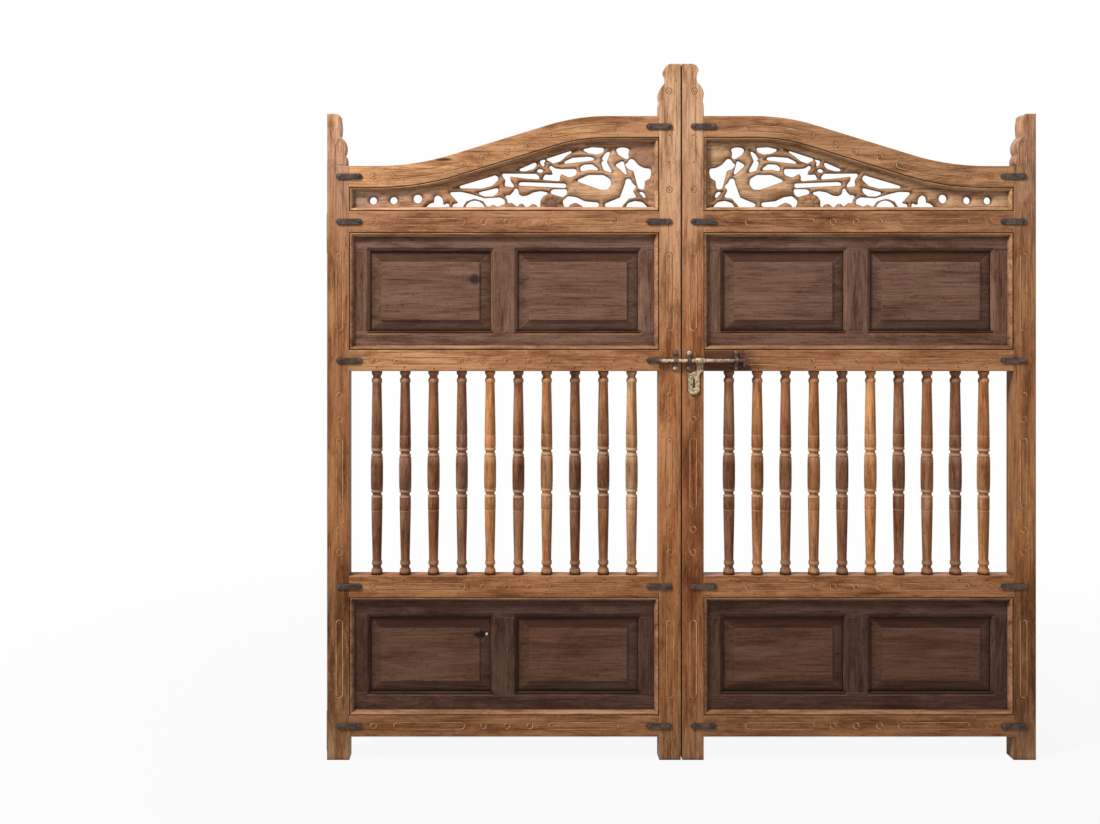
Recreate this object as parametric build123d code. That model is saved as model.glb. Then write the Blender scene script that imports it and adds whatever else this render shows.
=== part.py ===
"""A pair of carved garden gate leaves in teak, with iron straps, a sliding bolt and pintle hinges.

The left leaf is drawn with x from its hinge edge to its meeting edge, y from front to back about
the middle of its thickness and z up from the ground. The right leaf is its mirror image.
"""
import os
from itertools import pairwise
from math import atan2, cos, pi, sin

from build123d import *

# Leaves and their upright stiles
leaf_width = 955
leaf_gap = 4
frame_thickness = 45
hinge_stile_width = 60
meeting_stile_width = 58
hinge_finial_height = 141
meeting_finial_height = 141

# Rails and the openings between them, from the ground up
foot_height = 63
rail_height = 57
lower_opening_height = 320
baluster_opening_height = 553
upper_opening_height = 318
frieze_low_height = 65
top_rail_rise = 135

# Ogee of the top rail, in shares of the opening's width, mean slope and sum of radii
ogee_start_share = 0.09
ogee_end_share = 0.835
ogee_slope_share = 1.4
ogee_low_radius_share = 0.55

# Outlines of the finials: corners and the points their arcs pass through, as shares of width and height
hinge_finial_shares = [
    ((0.55, 0.03), (0.58, 0.09)),
    ((0.62, 0.22), (0.58, 0.43)),
    ((0.83, 0.60), (0.76, 0.78)),
    ((0.88, 0.89), (0.83, 1.0)),
]
hinge_finial_top_share = 0.42
meeting_finial_shares = [
    ((0.66, 0.04), (0.76, 0.14)),
    ((0.67, 0.25), (0.70, 0.36)),
    ((0.87, 0.43), (1.0, 0.56)),
    ((0.985, 0.64), (0.95, 0.72)),
    ((0.98, 0.76), (1.0, 0.80)),
]
meeting_finial_top_share = 0.44

# Mortise and tenon joints
tenon_thickness = 15
tenon_length = 40
tenon_shoulder = 8
joint_clearance = 0.2
cut_overrun = 5

# Planted beads that hold the panels and the frieze in their openings
bead_width = 12
bead_splay = 8
front_bead_depth = 12
back_bead_depth = 10

# Dark panel frames and their raised panels
inner_stile_width = 55
muntin_width = 73
upper_inner_rail_height = 50
lower_inner_rail_height = 58
groove_width = 8
groove_depth = 9
groove_setback = 3
splay_width = 9
splay_depth = 7
panel_bevel_width = 30
panel_field_recess = 1
panel_field_step = 2.5

# Turned balusters with square tenons: radius and height shares from the bottom up
baluster_count = 10
baluster_end_share = 0.94
baluster_flats = 8
baluster_radius = 17
baluster_tenon_side = 14
baluster_tenon_length = 22
baluster_shares = [
    (0.92, 0.0),
    (0.66, 0.045),
    (0.92, 0.36),
    (0.74, 0.395),
    (1.0, 0.418),
    (1.0, 0.58),
    (0.74, 0.603),
    (0.92, 0.64),
    (0.64, 0.96),
    (0.86, 1.0),
]

# Iron straps nailed over the joints of stiles and rails
strap_length = 70
strap_height = 15
strap_thickness = 3
strap_corner = 5

# Sliding bolt, its keepers and the hasp that hangs on it, measured from the line where the leaves meet
bolt_radius = 4.75
bolt_gap = 0.8
bolt_reach = 73
bolt_tail = 172
bolt_nose = 2
bolt_spur_radius = 3.5
bolt_spur_length = 16
keeper_width = 10
keeper_height = 56
keeper_thickness = 2.5
keeper_clearance = 0.35
left_keeper_x = 17
right_keeper_xs = [20, 147]
collar_radius = 7
collar_width = 3
hasp_eye_x = 49
hasp_eye_width = 17
hasp_thickness = 3
hasp_clearance = 0.09
hasp_end_clearance = 0.4
hasp_neck_length = 28
hasp_body_width = 30
hasp_length = 92
hasp_body_offset = 16
hasp_slot_length = 24
hasp_slot_width = 5
hasp_slot_drop = 62

# Pintle hinges behind the hinge stiles
hinge_inset = 12
eye_radius = 9
eye_height = 36
pin_radius = 5
pin_clearance = 0.1
pin_seat_clearance = 0.05
pin_rise = 3
hinge_strap_length = 46
hinge_strap_thickness = 4
lug_height = 20
lug_gap = 0.5
arm_width = 16
arm_end_chamfer = 5
post_gap = 3
post_plate_thickness = 5
post_plate_width = 50
post_plate_height = 110
post_hole_radius = 4.5
post_hole_spacing = 84

# Frieze carving: pixels of the opening's edges, then each piercing as corners and the points between
# them that its arcs pass through
frieze_left_px = 350.6
frieze_right_px = 658.4
frieze_base_px = 211.4
frieze_top_px = 137.6
drilled_hole_flats = 12
drilled_holes_px = [(373.7, 200.5, 3.4), (394.1, 200.3, 3.4), (418.1, 198.6, 4.1)]
piercings_px = {
    "arch": [
        (425.5, 207.4), (430.5, 203.4), (434.6, 202.4), (435, 197), (438, 195), (441.8, 197.4),
        (443, 201), (442.8, 203.4), (444.2, 205), (446, 203.6), (449.2, 203.2), (449.3, 205.5),
        (449.2, 207.4), (437, 207.4),
    ],
    "under_stem": [
        (449.5, 192.2), (461, 191.7), (471, 194), (478, 196.4), (485, 198.2), (492, 197.5),
        (500, 197.2), (504.2, 199.2), (505.2, 203.6), (501, 204.4), (498, 206.2), (493.4, 203.8),
        (488, 206.4), (483.4, 200.4), (474.6, 197.8), (466, 200.8), (462.2, 207.4), (457.6, 207.4),
        (453, 207.4), (453.2, 205.6), (453.4, 203.8), (456.6, 203.6), (459, 202.2), (456.6, 198.6),
    ],
    "half_moon": [(465.4, 207.4), (475, 200.5), (484.8, 207.4), (475, 207.4)],
    "over_stem": [
        (454, 187.6), (473, 181.8), (493, 176), (497.4, 176.2), (498.2, 179.4), (492.4, 185),
        (482, 187.8), (468, 188.2),
    ],
    "fork": [(477.4, 192.6), (488, 189.4), (498.8, 187.6), (497.6, 192), (493, 195.6), (485, 195.8)],
    "over_tail": [
        (501.6, 173.4), (519, 173.5), (536.6, 173.6), (538.2, 175), (539.6, 177.4), (542, 178.6),
        (544.6, 176.8), (544.8, 175), (546, 174.2), (549.8, 174.8), (553.4, 174.4), (552.4, 170.4),
        (549.6, 167.4), (549.8, 166), (551.4, 165.4), (555.4, 168.2), (562, 169), (569, 168.8),
        (576, 168.6), (576.8, 171.6), (575.6, 174.6), (569, 176.8), (561.4, 173), (559.6, 176.4),
        (560, 180.4), (545, 181.2), (527, 177.8), (518, 176.6), (510, 175.8), (510.4, 180.4),
        (514.4, 185.8), (513.2, 186.8), (511, 186.2), (508, 185.8), (505, 185.4), (506.2, 180),
    ],
    "tail_slit": [
        (519, 184.8), (519.6, 182.4), (523, 181.9), (543, 185), (565.4, 183.4), (566.6, 185.4),
        (565.4, 187.2), (543, 188.1),
    ],
    "tail_notch": [
        (551, 193), (551.6, 190.2), (554, 189.2), (560, 189), (567.2, 189), (566.4, 193.6),
        (563, 196.4), (557, 194),
    ],
    "under_tail": [
        (514.6, 190.6), (516.2, 188.2), (518, 190.6), (519, 194.2), (522.6, 196.2), (528, 195.4),
        (533.5, 192.4), (541, 191), (549.4, 192.6), (543.2, 195.6), (540.2, 200), (540, 204),
        (540, 207.2), (538.2, 206.2), (536, 203.8), (532.2, 203.2), (528.8, 206), (526.6, 206.6),
        (524.6, 205), (521.4, 202.8), (518.4, 205.4), (517, 206), (515.4, 204.4), (512, 202),
        (507.8, 202.8), (508, 199.4), (505.2, 195.4), (510.6, 195),
    ],
    "over_flower": [(516.6, 170.4), (526, 165.8), (535.8, 162), (536.8, 164.4), (534, 168), (526, 170.4)],
    "flower_eye": [(535.8, 170.6), (540.4, 168.6), (545, 170.4), (540.4, 172.2)],
    "under_rail": [
        (539.8, 160.8), (558.4, 155.2), (577, 148.8), (572, 151.6), (567, 154.8), (560.6, 160.2),
        (553, 162.8), (549.6, 160.2), (546, 159.8), (543.6, 162.4), (545.4, 166.6), (542, 164.8),
    ],
    "wing_slit": [(559.8, 163.8), (572.6, 157.6), (588, 156.4), (593, 157.2), (596, 159.2), (577, 160.8)],
    "wing_lens": [(582.6, 149.2), (592.4, 147), (604.4, 147.6), (603, 151.6), (597, 153.8), (588.6, 152.4)],
    "back_slit": [(580.8, 170.8), (580.6, 167), (584, 164.4), (592.4, 164), (600, 169.8), (590, 168.8)],
    "body_drop": [
        (576.6, 180.4), (589, 174.8), (603.4, 174.8), (610.4, 178.8), (611.2, 184.2), (607.4, 188.8),
        (601, 189), (588, 184.8),
    ],
    "nape": [
        (611.2, 149.8), (605.6, 153.2), (602.2, 158.6), (603.4, 159.4), (604.8, 160), (602.8, 160.8),
        (601.8, 162.4), (604, 169.6), (612.6, 172.2), (606.6, 161),
    ],
    "over_beak": [
        (616.4, 149.8), (618.2, 147.8), (622, 147.2), (625.4, 147.2), (629.6, 148.8), (628.2, 153),
        (629, 157), (627, 158.6), (623.4, 156.8), (619, 154.2),
    ],
    "throat": [(615.6, 164.6), (620, 162.6), (623.4, 160.4), (625, 167), (627.4, 175.2), (621.4, 170.6)],
    "leaf_side": [
        (624.8, 163.4), (627.6, 162.8), (629.6, 159.6), (631.6, 158.4), (634, 159.4), (638.8, 165),
        (644.4, 167.8), (648, 168), (650.8, 168.6), (651.2, 173), (650, 177.4), (645, 180.2),
        (644.2, 188.4), (641, 188.6), (638.4, 187.4), (636.8, 178.6), (633.8, 170), (628.4, 168.2),
    ],
    "breast": [
        (626, 182), (627.8, 178.4), (631.4, 181), (634, 184.4), (637, 185.8), (634.6, 187.8),
        (633, 190), (634.6, 193.6), (637, 196.6), (629, 197.8), (623.4, 204), (622.2, 206.4),
        (620, 207.4), (614, 207.4), (607.8, 207.4), (605.8, 206), (605, 203.8), (620.4, 197.4),
    ],
    "corner_slit": [(638.4, 190.8), (644.2, 192.6), (647.4, 200.6), (642, 195.8)],
    "corner_moon": [
        (625.6, 207.4), (628.8, 202.8), (635.4, 200.8), (642.6, 202), (648.4, 207.4), (637, 207.4),
    ],
    "under_bird": [
        (563.2, 200.4), (568.4, 196), (577, 197.2), (585, 201.2), (597.6, 202.4), (599.2, 204),
        (597.8, 206), (594, 207.4), (588, 207.6), (583.6, 206.6), (581.6, 204.8), (575.6, 201.8),
        (569.8, 204), (568.6, 206.4), (566, 207.2), (564, 204.4),
    ],
}
straight_share = 0.06
flat_arc_share = 0.35

# Levels worked out from the sizes above
front_y = -frame_thickness / 2
back_y = frame_thickness / 2
lower_opening_z = foot_height + rail_height
spindle_rail_z = lower_opening_z + lower_opening_height
baluster_z = spindle_rail_z + rail_height
lock_rail_z = baluster_z + baluster_opening_height
upper_opening_z = lock_rail_z + rail_height
frieze_rail_z = upper_opening_z + upper_opening_height
frieze_z = frieze_rail_z + rail_height
top_low_z = frieze_z + frieze_low_height + rail_height
top_high_z = top_low_z + top_rail_rise
opening_x0 = hinge_stile_width
opening_x1 = leaf_width - meeting_stile_width
opening_width = opening_x1 - opening_x0
inner_front_y = front_y + front_bead_depth + joint_clearance
inner_back_y = back_y - back_bead_depth - joint_clearance
groove_y = (inner_front_y + inner_back_y) / 2 + groove_setback

# Ogee of the top rail worked out from its rise and run
ogee_x0 = opening_x0 + ogee_start_share * opening_width
ogee_x1 = opening_x0 + ogee_end_share * opening_width
ogee_run = ogee_x1 - ogee_x0
ogee_slope = ogee_slope_share * atan2(top_rail_rise, ogee_run)
ogee_radius_sum = (ogee_run * sin(ogee_slope) - top_rail_rise * cos(ogee_slope)) / (1 - cos(ogee_slope))
ogee_low_radius = ogee_low_radius_share * ogee_radius_sum
ogee_high_radius = ogee_radius_sum - ogee_low_radius

# Bolt, hinges and the middle of the leaves in the depth of the whole gate
bolt_z = lock_rail_z + rail_height / 2
bolt_y = front_y - strap_thickness - bolt_gap - bolt_radius
keeper_bore = bolt_radius + keeper_clearance
hinge_y = back_y + eye_radius
hinge_zs = [foot_height + rail_height / 2, frieze_rail_z + rail_height / 2]
hasp_bore = bolt_radius + hasp_clearance
front_reach = max(keeper_bore + keeper_thickness, hasp_bore + hasp_thickness) - bolt_y
back_reach = back_y + post_plate_width
leaf_y = (front_reach - back_reach) / 2


def block(x0, x1, y0, y1, z0, z1):
    """A box between two corners."""
    return Pos((x0 + x1) / 2, (y0 + y1) / 2, (z0 + z1) / 2) * Box(x1 - x0, y1 - y0, z1 - z0)


def slab(face, y0, y1):
    """A face drawn in x and z, made solid from y0 back to y1."""
    return extrude(Plane.XZ.offset(-y1) * face, y1 - y0)


def rectangle(x0, x1, z0, z1):
    """A rectangular face in x and z between two corners."""
    return Pos((x0 + x1) / 2, (z0 + z1) / 2) * Rectangle(x1 - x0, z1 - z0)


def bar_along_x(x0, x1, y, z, radius):
    """A round bar along x."""
    return Pos((x0 + x1) / 2, y, z) * Rot(0, 90, 0) * Cylinder(radius, x1 - x0)


def post_along_z(x, y, z0, z1, radius):
    """A round bar along z."""
    return Pos(x, y, (z0 + z1) / 2) * Cylinder(radius, z1 - z0)


def ogee_low_point(depth, angle):
    """A point on the low arc of the ogee, the depth below the top rail's upper edge."""
    radius = ogee_low_radius + depth
    return (ogee_x0 + radius * sin(angle), top_low_z + ogee_low_radius - radius * cos(angle))


def ogee_high_point(depth, angle):
    """A point on the high arc of the ogee, the depth below the top rail's upper edge."""
    radius = ogee_high_radius - depth
    return (ogee_x1 - radius * sin(angle), top_high_z - ogee_high_radius + radius * cos(angle))


def ogee_edges(depth, x0, x1):
    """The ogee from x0 to x1, parallel to the top rail's upper edge."""
    low_start = ogee_low_point(depth, 0)
    low_end = ogee_low_point(depth, ogee_slope)
    high_start = ogee_high_point(depth, ogee_slope)
    high_end = ogee_high_point(depth, 0)
    return [
        Line((x0, top_low_z - depth), low_start),
        ThreePointArc(low_start, ogee_low_point(depth, ogee_slope / 2), low_end),
        Line(low_end, high_start),
        ThreePointArc(high_start, ogee_high_point(depth, ogee_slope / 2), high_end),
        Line(high_end, (x1, top_high_z - depth)),
    ]


def under_ogee(inset):
    """The frieze opening as a face, drawn in by the inset on all sides."""
    x0 = opening_x0 + inset
    x1 = opening_x1 - inset
    base = frieze_z + inset
    depth = rail_height + inset
    sides = [
        Line((x1, top_high_z - depth), (x1, base)),
        Line((x1, base), (x0, base)),
        Line((x0, base), (x0, top_low_z - depth)),
    ]
    return make_face(ogee_edges(depth, x0, x1) + sides)


def carved_stile(width, height, finial_height, top_share, shares):
    """A stile with its plain edge at x = 0 and its finial carved on the other side."""
    corner = (top_share * width, height)
    edges = [Line((0, 0), (0, height)), Line((0, height), corner)]
    for middle, end in shares:
        through = (middle[0] * width, height - middle[1] * finial_height)
        target = (end[0] * width, height - end[1] * finial_height)
        edges.append(ThreePointArc(corner, through, target))
        corner = target
    shoulder = (width, height - finial_height)
    edges += [Line(corner, shoulder), Line(shoulder, (width, 0)), Line((width, 0), (0, 0))]
    return slab(make_face(edges), front_y, back_y)


def rail_tenon(x0, x1, z0, clearance):
    """A tenon of a rail whose lower edge is at z0, or with a clearance the mortise for it."""
    half = tenon_thickness / 2 + clearance
    inset = tenon_shoulder - clearance
    return block(x0, x1, -half, half, z0 + inset, z0 + rail_height - inset)


def stile_mortises(x0, x1, top_z):
    """The five mortises of a stile, the uppermost for a top rail whose lower edge is at top_z."""
    levels = [foot_height, spindle_rail_z, lock_rail_z, frieze_rail_z, top_z]
    return [rail_tenon(x0, x1, z, joint_clearance) for z in levels]


def hinge_stile():
    """The outer stile, its finial carved on the side of the top rail."""
    height = top_low_z + hinge_finial_height
    stile = carved_stile(
        hinge_stile_width, height, hinge_finial_height, hinge_finial_top_share, hinge_finial_shares
    )
    start = hinge_stile_width - tenon_length - joint_clearance
    return stile - stile_mortises(start, hinge_stile_width + cut_overrun, top_low_z - rail_height)


def meeting_stile():
    """The stile where the leaves meet, its finial carved on the side of the top rail."""
    height = top_high_z + meeting_finial_height
    stile = carved_stile(
        meeting_stile_width, height, meeting_finial_height, meeting_finial_top_share, meeting_finial_shares
    )
    stile = Pos(leaf_width, 0, 0) * mirror(stile, about=Plane.YZ)
    end = opening_x1 + tenon_length + joint_clearance
    return stile - stile_mortises(opening_x1 - cut_overrun, end, top_high_z - rail_height)


def tenons(left_z, right_z):
    """The tenons at both ends of a rail."""
    left = rail_tenon(opening_x0 - tenon_length, opening_x0, left_z, 0)
    right = rail_tenon(opening_x1, opening_x1 + tenon_length, right_z, 0)
    return [left, right]


def straight_rail(z0):
    """A rail between the stiles, with its two tenons."""
    return block(opening_x0, opening_x1, front_y, back_y, z0, z0 + rail_height) + tenons(z0, z0)


def top_rail():
    """The ogee rail that carries the frieze."""
    ends = [
        Line((opening_x1, top_high_z), (opening_x1, top_high_z - rail_height)),
        Line((opening_x0, top_low_z), (opening_x0, top_low_z - rail_height)),
    ]
    upper = ogee_edges(0, opening_x0, opening_x1)
    lower = ogee_edges(rail_height, opening_x0, opening_x1)
    rail = slab(make_face(upper + lower + ends), front_y, back_y)
    return rail + tenons(top_low_z - rail_height, top_high_z - rail_height)


def baluster_centres():
    """The places of the balusters along the leaf."""
    pitch = opening_width / (baluster_count - 1 + 2 * baluster_end_share)
    return [opening_x0 + (baluster_end_share + index) * pitch for index in range(baluster_count)]


def baluster_mortises(z0, z1):
    """The square mortises of all balusters between two levels."""
    half = baluster_tenon_side / 2 + joint_clearance
    return [block(x - half, x + half, -half, half, z0, z1) for x in baluster_centres()]


def lock_rail():
    """The rail above the balusters, mortised on its underside."""
    depth = lock_rail_z + baluster_tenon_length + joint_clearance
    return straight_rail(lock_rail_z) - baluster_mortises(lock_rail_z - cut_overrun, depth)


def spindle_rail():
    """The rail below the balusters, mortised on its upper side."""
    depth = baluster_z - baluster_tenon_length - joint_clearance
    return straight_rail(spindle_rail_z) - baluster_mortises(depth, baluster_z + cut_overrun)


def turned_ring(radius, z):
    """The corners of one ring of a baluster, where its flats meet."""
    turns = [2 * pi * index / baluster_flats for index in range(baluster_flats)]
    return [(radius * cos(turn), radius * sin(turn), z) for turn in turns]


def turned_shaft():
    """The shaft of a baluster between the rails, its rounds worked in flats."""
    rings = [turned_ring(r * baluster_radius, h * baluster_opening_height) for r, h in baluster_shares]
    outlines = [rings[0], rings[-1]]
    for lower, upper in pairwise(rings):
        for index in range(baluster_flats):
            outlines.append([lower[index - 1], lower[index], upper[index], upper[index - 1]])
    faces = [make_face(Polyline(*outline, close=True)).face() for outline in outlines]
    return Solid(Shell(faces))


def baluster(x):
    """One turned baluster with its waists, barrel and square tenons."""
    turned = turned_shaft()
    half = baluster_tenon_side / 2
    top = baluster_opening_height + baluster_tenon_length
    lower = block(-half, half, -half, half, -baluster_tenon_length, 0)
    upper = block(-half, half, -half, half, baluster_opening_height, top)
    return Pos(x, 0, baluster_z) * (turned + lower + upper)


def mitred_strips(ring, x0, x1, z0, left_z, right_z, y0, y1):
    """A bead ring cut at its corners into four mitred strips."""
    width = bead_width
    bottom = [(x0, z0), (x1, z0), (x1 - width, z0 + width), (x0 + width, z0 + width)]
    left = [(x0, z0), (x0 + width, z0 + width), (x0 + width, left_z - width), (x0, left_z)]
    right = [(x1, z0), (x1, right_z), (x1 - width, right_z - width), (x1 - width, z0 + width)]
    strips = []
    rest = ring
    for corners in (bottom, left, right):
        wedge = slab(make_face(Polyline(*corners, close=True)), y0 - cut_overrun, y1 + cut_overrun)
        strips += (ring & wedge).solids()
        rest = rest - wedge
    return strips + list(rest.solids())


def bead_set(outer, inner, x0, x1, z0, left_z, right_z):
    """The splayed front beads and plain back beads of one opening."""
    front_end = front_y + front_bead_depth
    front = slab(outer - inner, front_y, front_end)
    rim = front.faces().sort_by(Axis.Y)[0].inner_wires()[0].edges()
    front = chamfer(rim, bead_splay)
    back_start = back_y - back_bead_depth
    back = slab(outer - inner, back_start, back_y)
    strips = mitred_strips(front, x0, x1, z0, left_z, right_z, front_y, front_end)
    return strips + mitred_strips(back, x0, x1, z0, left_z, right_z, back_start, back_y)


def straight_beads(z0, height):
    """The beads of a rectangular opening."""
    x0 = opening_x0 + joint_clearance
    x1 = opening_x1 - joint_clearance
    low = z0 + joint_clearance
    high = z0 + height - joint_clearance
    outer = rectangle(x0, x1, low, high)
    inner = rectangle(x0 + bead_width, x1 - bead_width, low + bead_width, high - bead_width)
    return bead_set(outer, inner, x0, x1, low, high, high)


def frieze_beads():
    """The beads of the frieze opening, the upper one following the ogee."""
    outer = under_ogee(joint_clearance)
    inner = under_ogee(joint_clearance + bead_width)
    x0 = opening_x0 + joint_clearance
    x1 = opening_x1 - joint_clearance
    depth = rail_height + joint_clearance
    return bead_set(outer, inner, x0, x1, frieze_z + joint_clearance, top_low_z - depth, top_high_z - depth)


def beads():
    """All beads of one leaf."""
    lower = straight_beads(lower_opening_z, lower_opening_height)
    upper = straight_beads(upper_opening_z, upper_opening_height)
    return lower + upper + frieze_beads()


def frieze_place(point):
    """A place on the frieze from its pixel."""
    across = (point[0] - frieze_left_px) / (frieze_right_px - frieze_left_px)
    up = (frieze_base_px - point[1]) / (frieze_base_px - frieze_top_px)
    return (opening_x0 + across * opening_width, frieze_z + up * (frieze_low_height + top_rail_rise))


def traced_curve(points_px):
    """An arc through the middle point, or one or two lines where the tracing bends little."""
    start, middle, end = [Vector(*point) for point in points_px]
    chord = end - start
    bend_share = (middle - start).cross(chord).length / chord.length**2
    places = [frieze_place(point) for point in points_px]
    if bend_share < straight_share:
        return Line(places[0], places[-1])
    if bend_share < flat_arc_share:
        return Polyline(*places)
    return ThreePointArc(*places)


def piercing(points_px):
    """One piercing of the frieze as a face bounded by the traced curves."""
    points = [*points_px, points_px[0]]
    return make_face([traced_curve(points[i : i + 3]) for i in range(0, len(points) - 1, 2)])


def carved_frieze():
    """The pierced board with the bird among foliage."""
    board = slab(under_ogee(joint_clearance), inner_front_y, inner_back_y)
    y0 = inner_front_y - cut_overrun
    y1 = inner_back_y + cut_overrun
    cuts = [slab(piercing(points), y0, y1) for points in piercings_px.values()]
    pixel = opening_width / (frieze_right_px - frieze_left_px)
    for u, v, radius_px in drilled_holes_px:
        x, z = frieze_place((u, v))
        cuts.append(slab(Pos(x, z) * RegularPolygon(radius_px * pixel, drilled_hole_flats), y0, y1))
    return board - cuts


def panel_bays(z0, height, inner_rail_height):
    """The two panel bays of an opening, each as x and z limits."""
    low = z0 + joint_clearance + inner_rail_height
    high = z0 + height - joint_clearance - inner_rail_height
    middle = (opening_x0 + opening_x1) / 2
    left_start = opening_x0 + joint_clearance + inner_stile_width
    right_end = opening_x1 - joint_clearance - inner_stile_width
    left = (left_start, middle - muntin_width / 2, low, high)
    right = (middle + muntin_width / 2, right_end, low, high)
    return [left, right]


def tapered_block(x0, x1, z0, z1, shrink, y_small, y_large):
    """A block whose face at y_small is drawn in by the shrink on all sides."""
    width = x1 - x0
    height = z1 - z0
    depth = y_large - y_small
    wedge = Wedge(width, depth, height, shrink, shrink, width - shrink, height - shrink)
    return Pos((x0 + x1) / 2, (y_small + y_large) / 2, (z0 + z1) / 2) * Rot(0, 0, 180) * wedge


def splay_cut(bay):
    """The splayed edge worked round a panel bay, as a cutter that is widest at the front."""
    x0, x1, z0, z1 = bay
    deep = inner_front_y + splay_depth
    wide = splay_width * (splay_depth + cut_overrun) / splay_depth
    cutter = tapered_block(
        x0 - wide, x1 + wide, z0 - wide, z1 + wide, wide, inner_front_y - cut_overrun, deep
    )
    return mirror(cutter, about=Plane.XZ.offset(-(inner_front_y - cut_overrun + deep) / 2))


def groove_cut(x0, x1, z0, z1):
    """A groove for the edges of the panels."""
    return block(x0, x1, groove_y - groove_width / 2, groove_y + groove_width / 2, z0, z1)


def panel_rails(z0, height, inner_rail_height):
    """The lower and upper rail of a panel frame, grooved and splayed."""
    bays = panel_bays(z0, height, inner_rail_height)
    x0 = opening_x0 + joint_clearance
    x1 = opening_x1 - joint_clearance
    low = bays[0][2]
    high = bays[0][3]
    cuts = [splay_cut(bay) for bay in bays]
    cuts.append(groove_cut(x0 - cut_overrun, x1 + cut_overrun, low - groove_depth, low + cut_overrun))
    cuts.append(groove_cut(x0 - cut_overrun, x1 + cut_overrun, high - cut_overrun, high + groove_depth))
    lower = block(x0, x1, inner_front_y, inner_back_y, low - inner_rail_height, low)
    upper = block(x0, x1, inner_front_y, inner_back_y, high, high + inner_rail_height)
    return [lower - cuts, upper - cuts]


def panel_stiles(z0, height, inner_rail_height):
    """The two stiles and the muntin of a panel frame, with stub tenons in the rails' grooves."""
    bays = panel_bays(z0, height, inner_rail_height)
    cuts = [splay_cut(bay) for bay in bays]
    for x0, x1, low, high in bays:
        cuts.append(groove_cut(x0 - groove_depth, x1 + groove_depth, low, high))
    limits = [
        (opening_x0 + joint_clearance, bays[0][0]),
        (bays[0][1], bays[1][0]),
        (bays[1][1], opening_x1 - joint_clearance),
    ]
    low = bays[0][2]
    high = bays[0][3]
    stub = groove_depth - joint_clearance
    half = groove_width / 2 - joint_clearance
    stiles = []
    for x0, x1 in limits:
        body = block(x0, x1, inner_front_y, inner_back_y, low, high) - cuts
        tongue_low = block(x0, x1, groove_y - half, groove_y + half, low - stub, low)
        tongue_high = block(x0, x1, groove_y - half, groove_y + half, high, high + stub)
        trim = groove_depth
        bay_side = [
            groove_cut(bay[0] - trim, bay[1] + trim, low - trim, high + trim) for bay in bays
        ]
        stiles.append(body + (tongue_low - bay_side) + (tongue_high - bay_side))
    return stiles


def raised_panel(bay):
    """One raised and fielded panel with a tongue in the grooves round it."""
    x0, x1, z0, z1 = bay
    reach = groove_depth - joint_clearance
    half = groove_width / 2 - joint_clearance
    tongue = block(x0 - reach, x1 + reach, groove_y - half, groove_y + half, z0 - reach, z1 + reach)
    field_y = inner_front_y + panel_field_recess
    step_y = field_y + panel_field_step
    bevel = tapered_block(
        x0 + joint_clearance,
        x1 - joint_clearance,
        z0 + joint_clearance,
        z1 - joint_clearance,
        panel_bevel_width,
        step_y,
        groove_y - half,
    )
    inset = panel_bevel_width + joint_clearance
    field = block(x0 + inset, x1 - inset, field_y, step_y, z0 + inset, z1 - inset)
    return tongue + bevel + field


def panels(z0, height, inner_rail_height):
    """The two raised panels of an opening."""
    return [raised_panel(bay) for bay in panel_bays(z0, height, inner_rail_height)]


def iron_strap(x, z):
    """A flat iron strap across the joint of a stile and a rail."""
    bar = block(
        x - strap_length / 2,
        x + strap_length / 2,
        front_y - strap_thickness,
        front_y,
        z - strap_height / 2,
        z + strap_height / 2,
    )
    return chamfer(bar.edges().filter_by(Axis.Y), strap_corner)


def iron_straps(with_lock_strap):
    """The straps of one leaf; the meeting stile has none at the lock rail where the bolt slides."""
    middle = rail_height / 2
    shared = [foot_height, spindle_rail_z, lock_rail_z, frieze_rail_z]
    hinge_side = [z + middle for z in shared + [top_low_z - rail_height]]
    meeting_side = [z + middle for z in shared + [top_high_z - rail_height]]
    if not with_lock_strap:
        meeting_side.remove(bolt_z)
    straps = [iron_strap(opening_x0, z) for z in hinge_side]
    return straps + [iron_strap(opening_x1, z) for z in meeting_side]


def leaf_hinge_plate(z):
    """A strap on the back of the hinge stile, rolled into an eye for the pin."""
    eye = post_along_z(hinge_inset, hinge_y, z - eye_height / 2, z + eye_height / 2, eye_radius)
    strap = block(
        hinge_inset,
        hinge_inset + hinge_strap_length,
        back_y,
        back_y + hinge_strap_thickness,
        z - eye_height / 2,
        z + eye_height / 2,
    )
    bore = post_along_z(hinge_inset, hinge_y, z - eye_height, z + eye_height, pin_radius + pin_clearance)
    return eye + strap - bore


def lug_levels(z):
    """The lower and upper level of the lug that carries the eye at z."""
    top = z - eye_height / 2 - lug_gap
    return (top - lug_height, top)


def post_hinge_plate(z):
    """A plate for the post with the forged arm that carries the pin."""
    low, high = lug_levels(z)
    half = arm_width / 2
    arm = block(-post_gap, hinge_inset + half, hinge_y - half, hinge_y + half, low, high)
    arm = chamfer(arm.edges().filter_by(Axis.Z).group_by(Axis.X)[-1], arm_end_chamfer)
    middle_y = back_y + post_plate_width / 2
    middle_z = (low + high) / 2
    plate = block(
        -post_gap - post_plate_thickness,
        -post_gap,
        back_y,
        back_y + post_plate_width,
        middle_z - post_plate_height / 2,
        middle_z + post_plate_height / 2,
    )
    seat = post_along_z(
        hinge_inset, hinge_y, low - cut_overrun, high + cut_overrun, pin_radius + pin_seat_clearance
    )
    start = -post_gap - post_plate_thickness - cut_overrun
    end = -post_gap + cut_overrun
    reach = post_hole_spacing / 2
    holes = [
        bar_along_x(start, end, middle_y, hole_z, post_hole_radius)
        for hole_z in (middle_z - reach, middle_z + reach)
    ]
    return arm + plate - seat - holes


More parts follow.
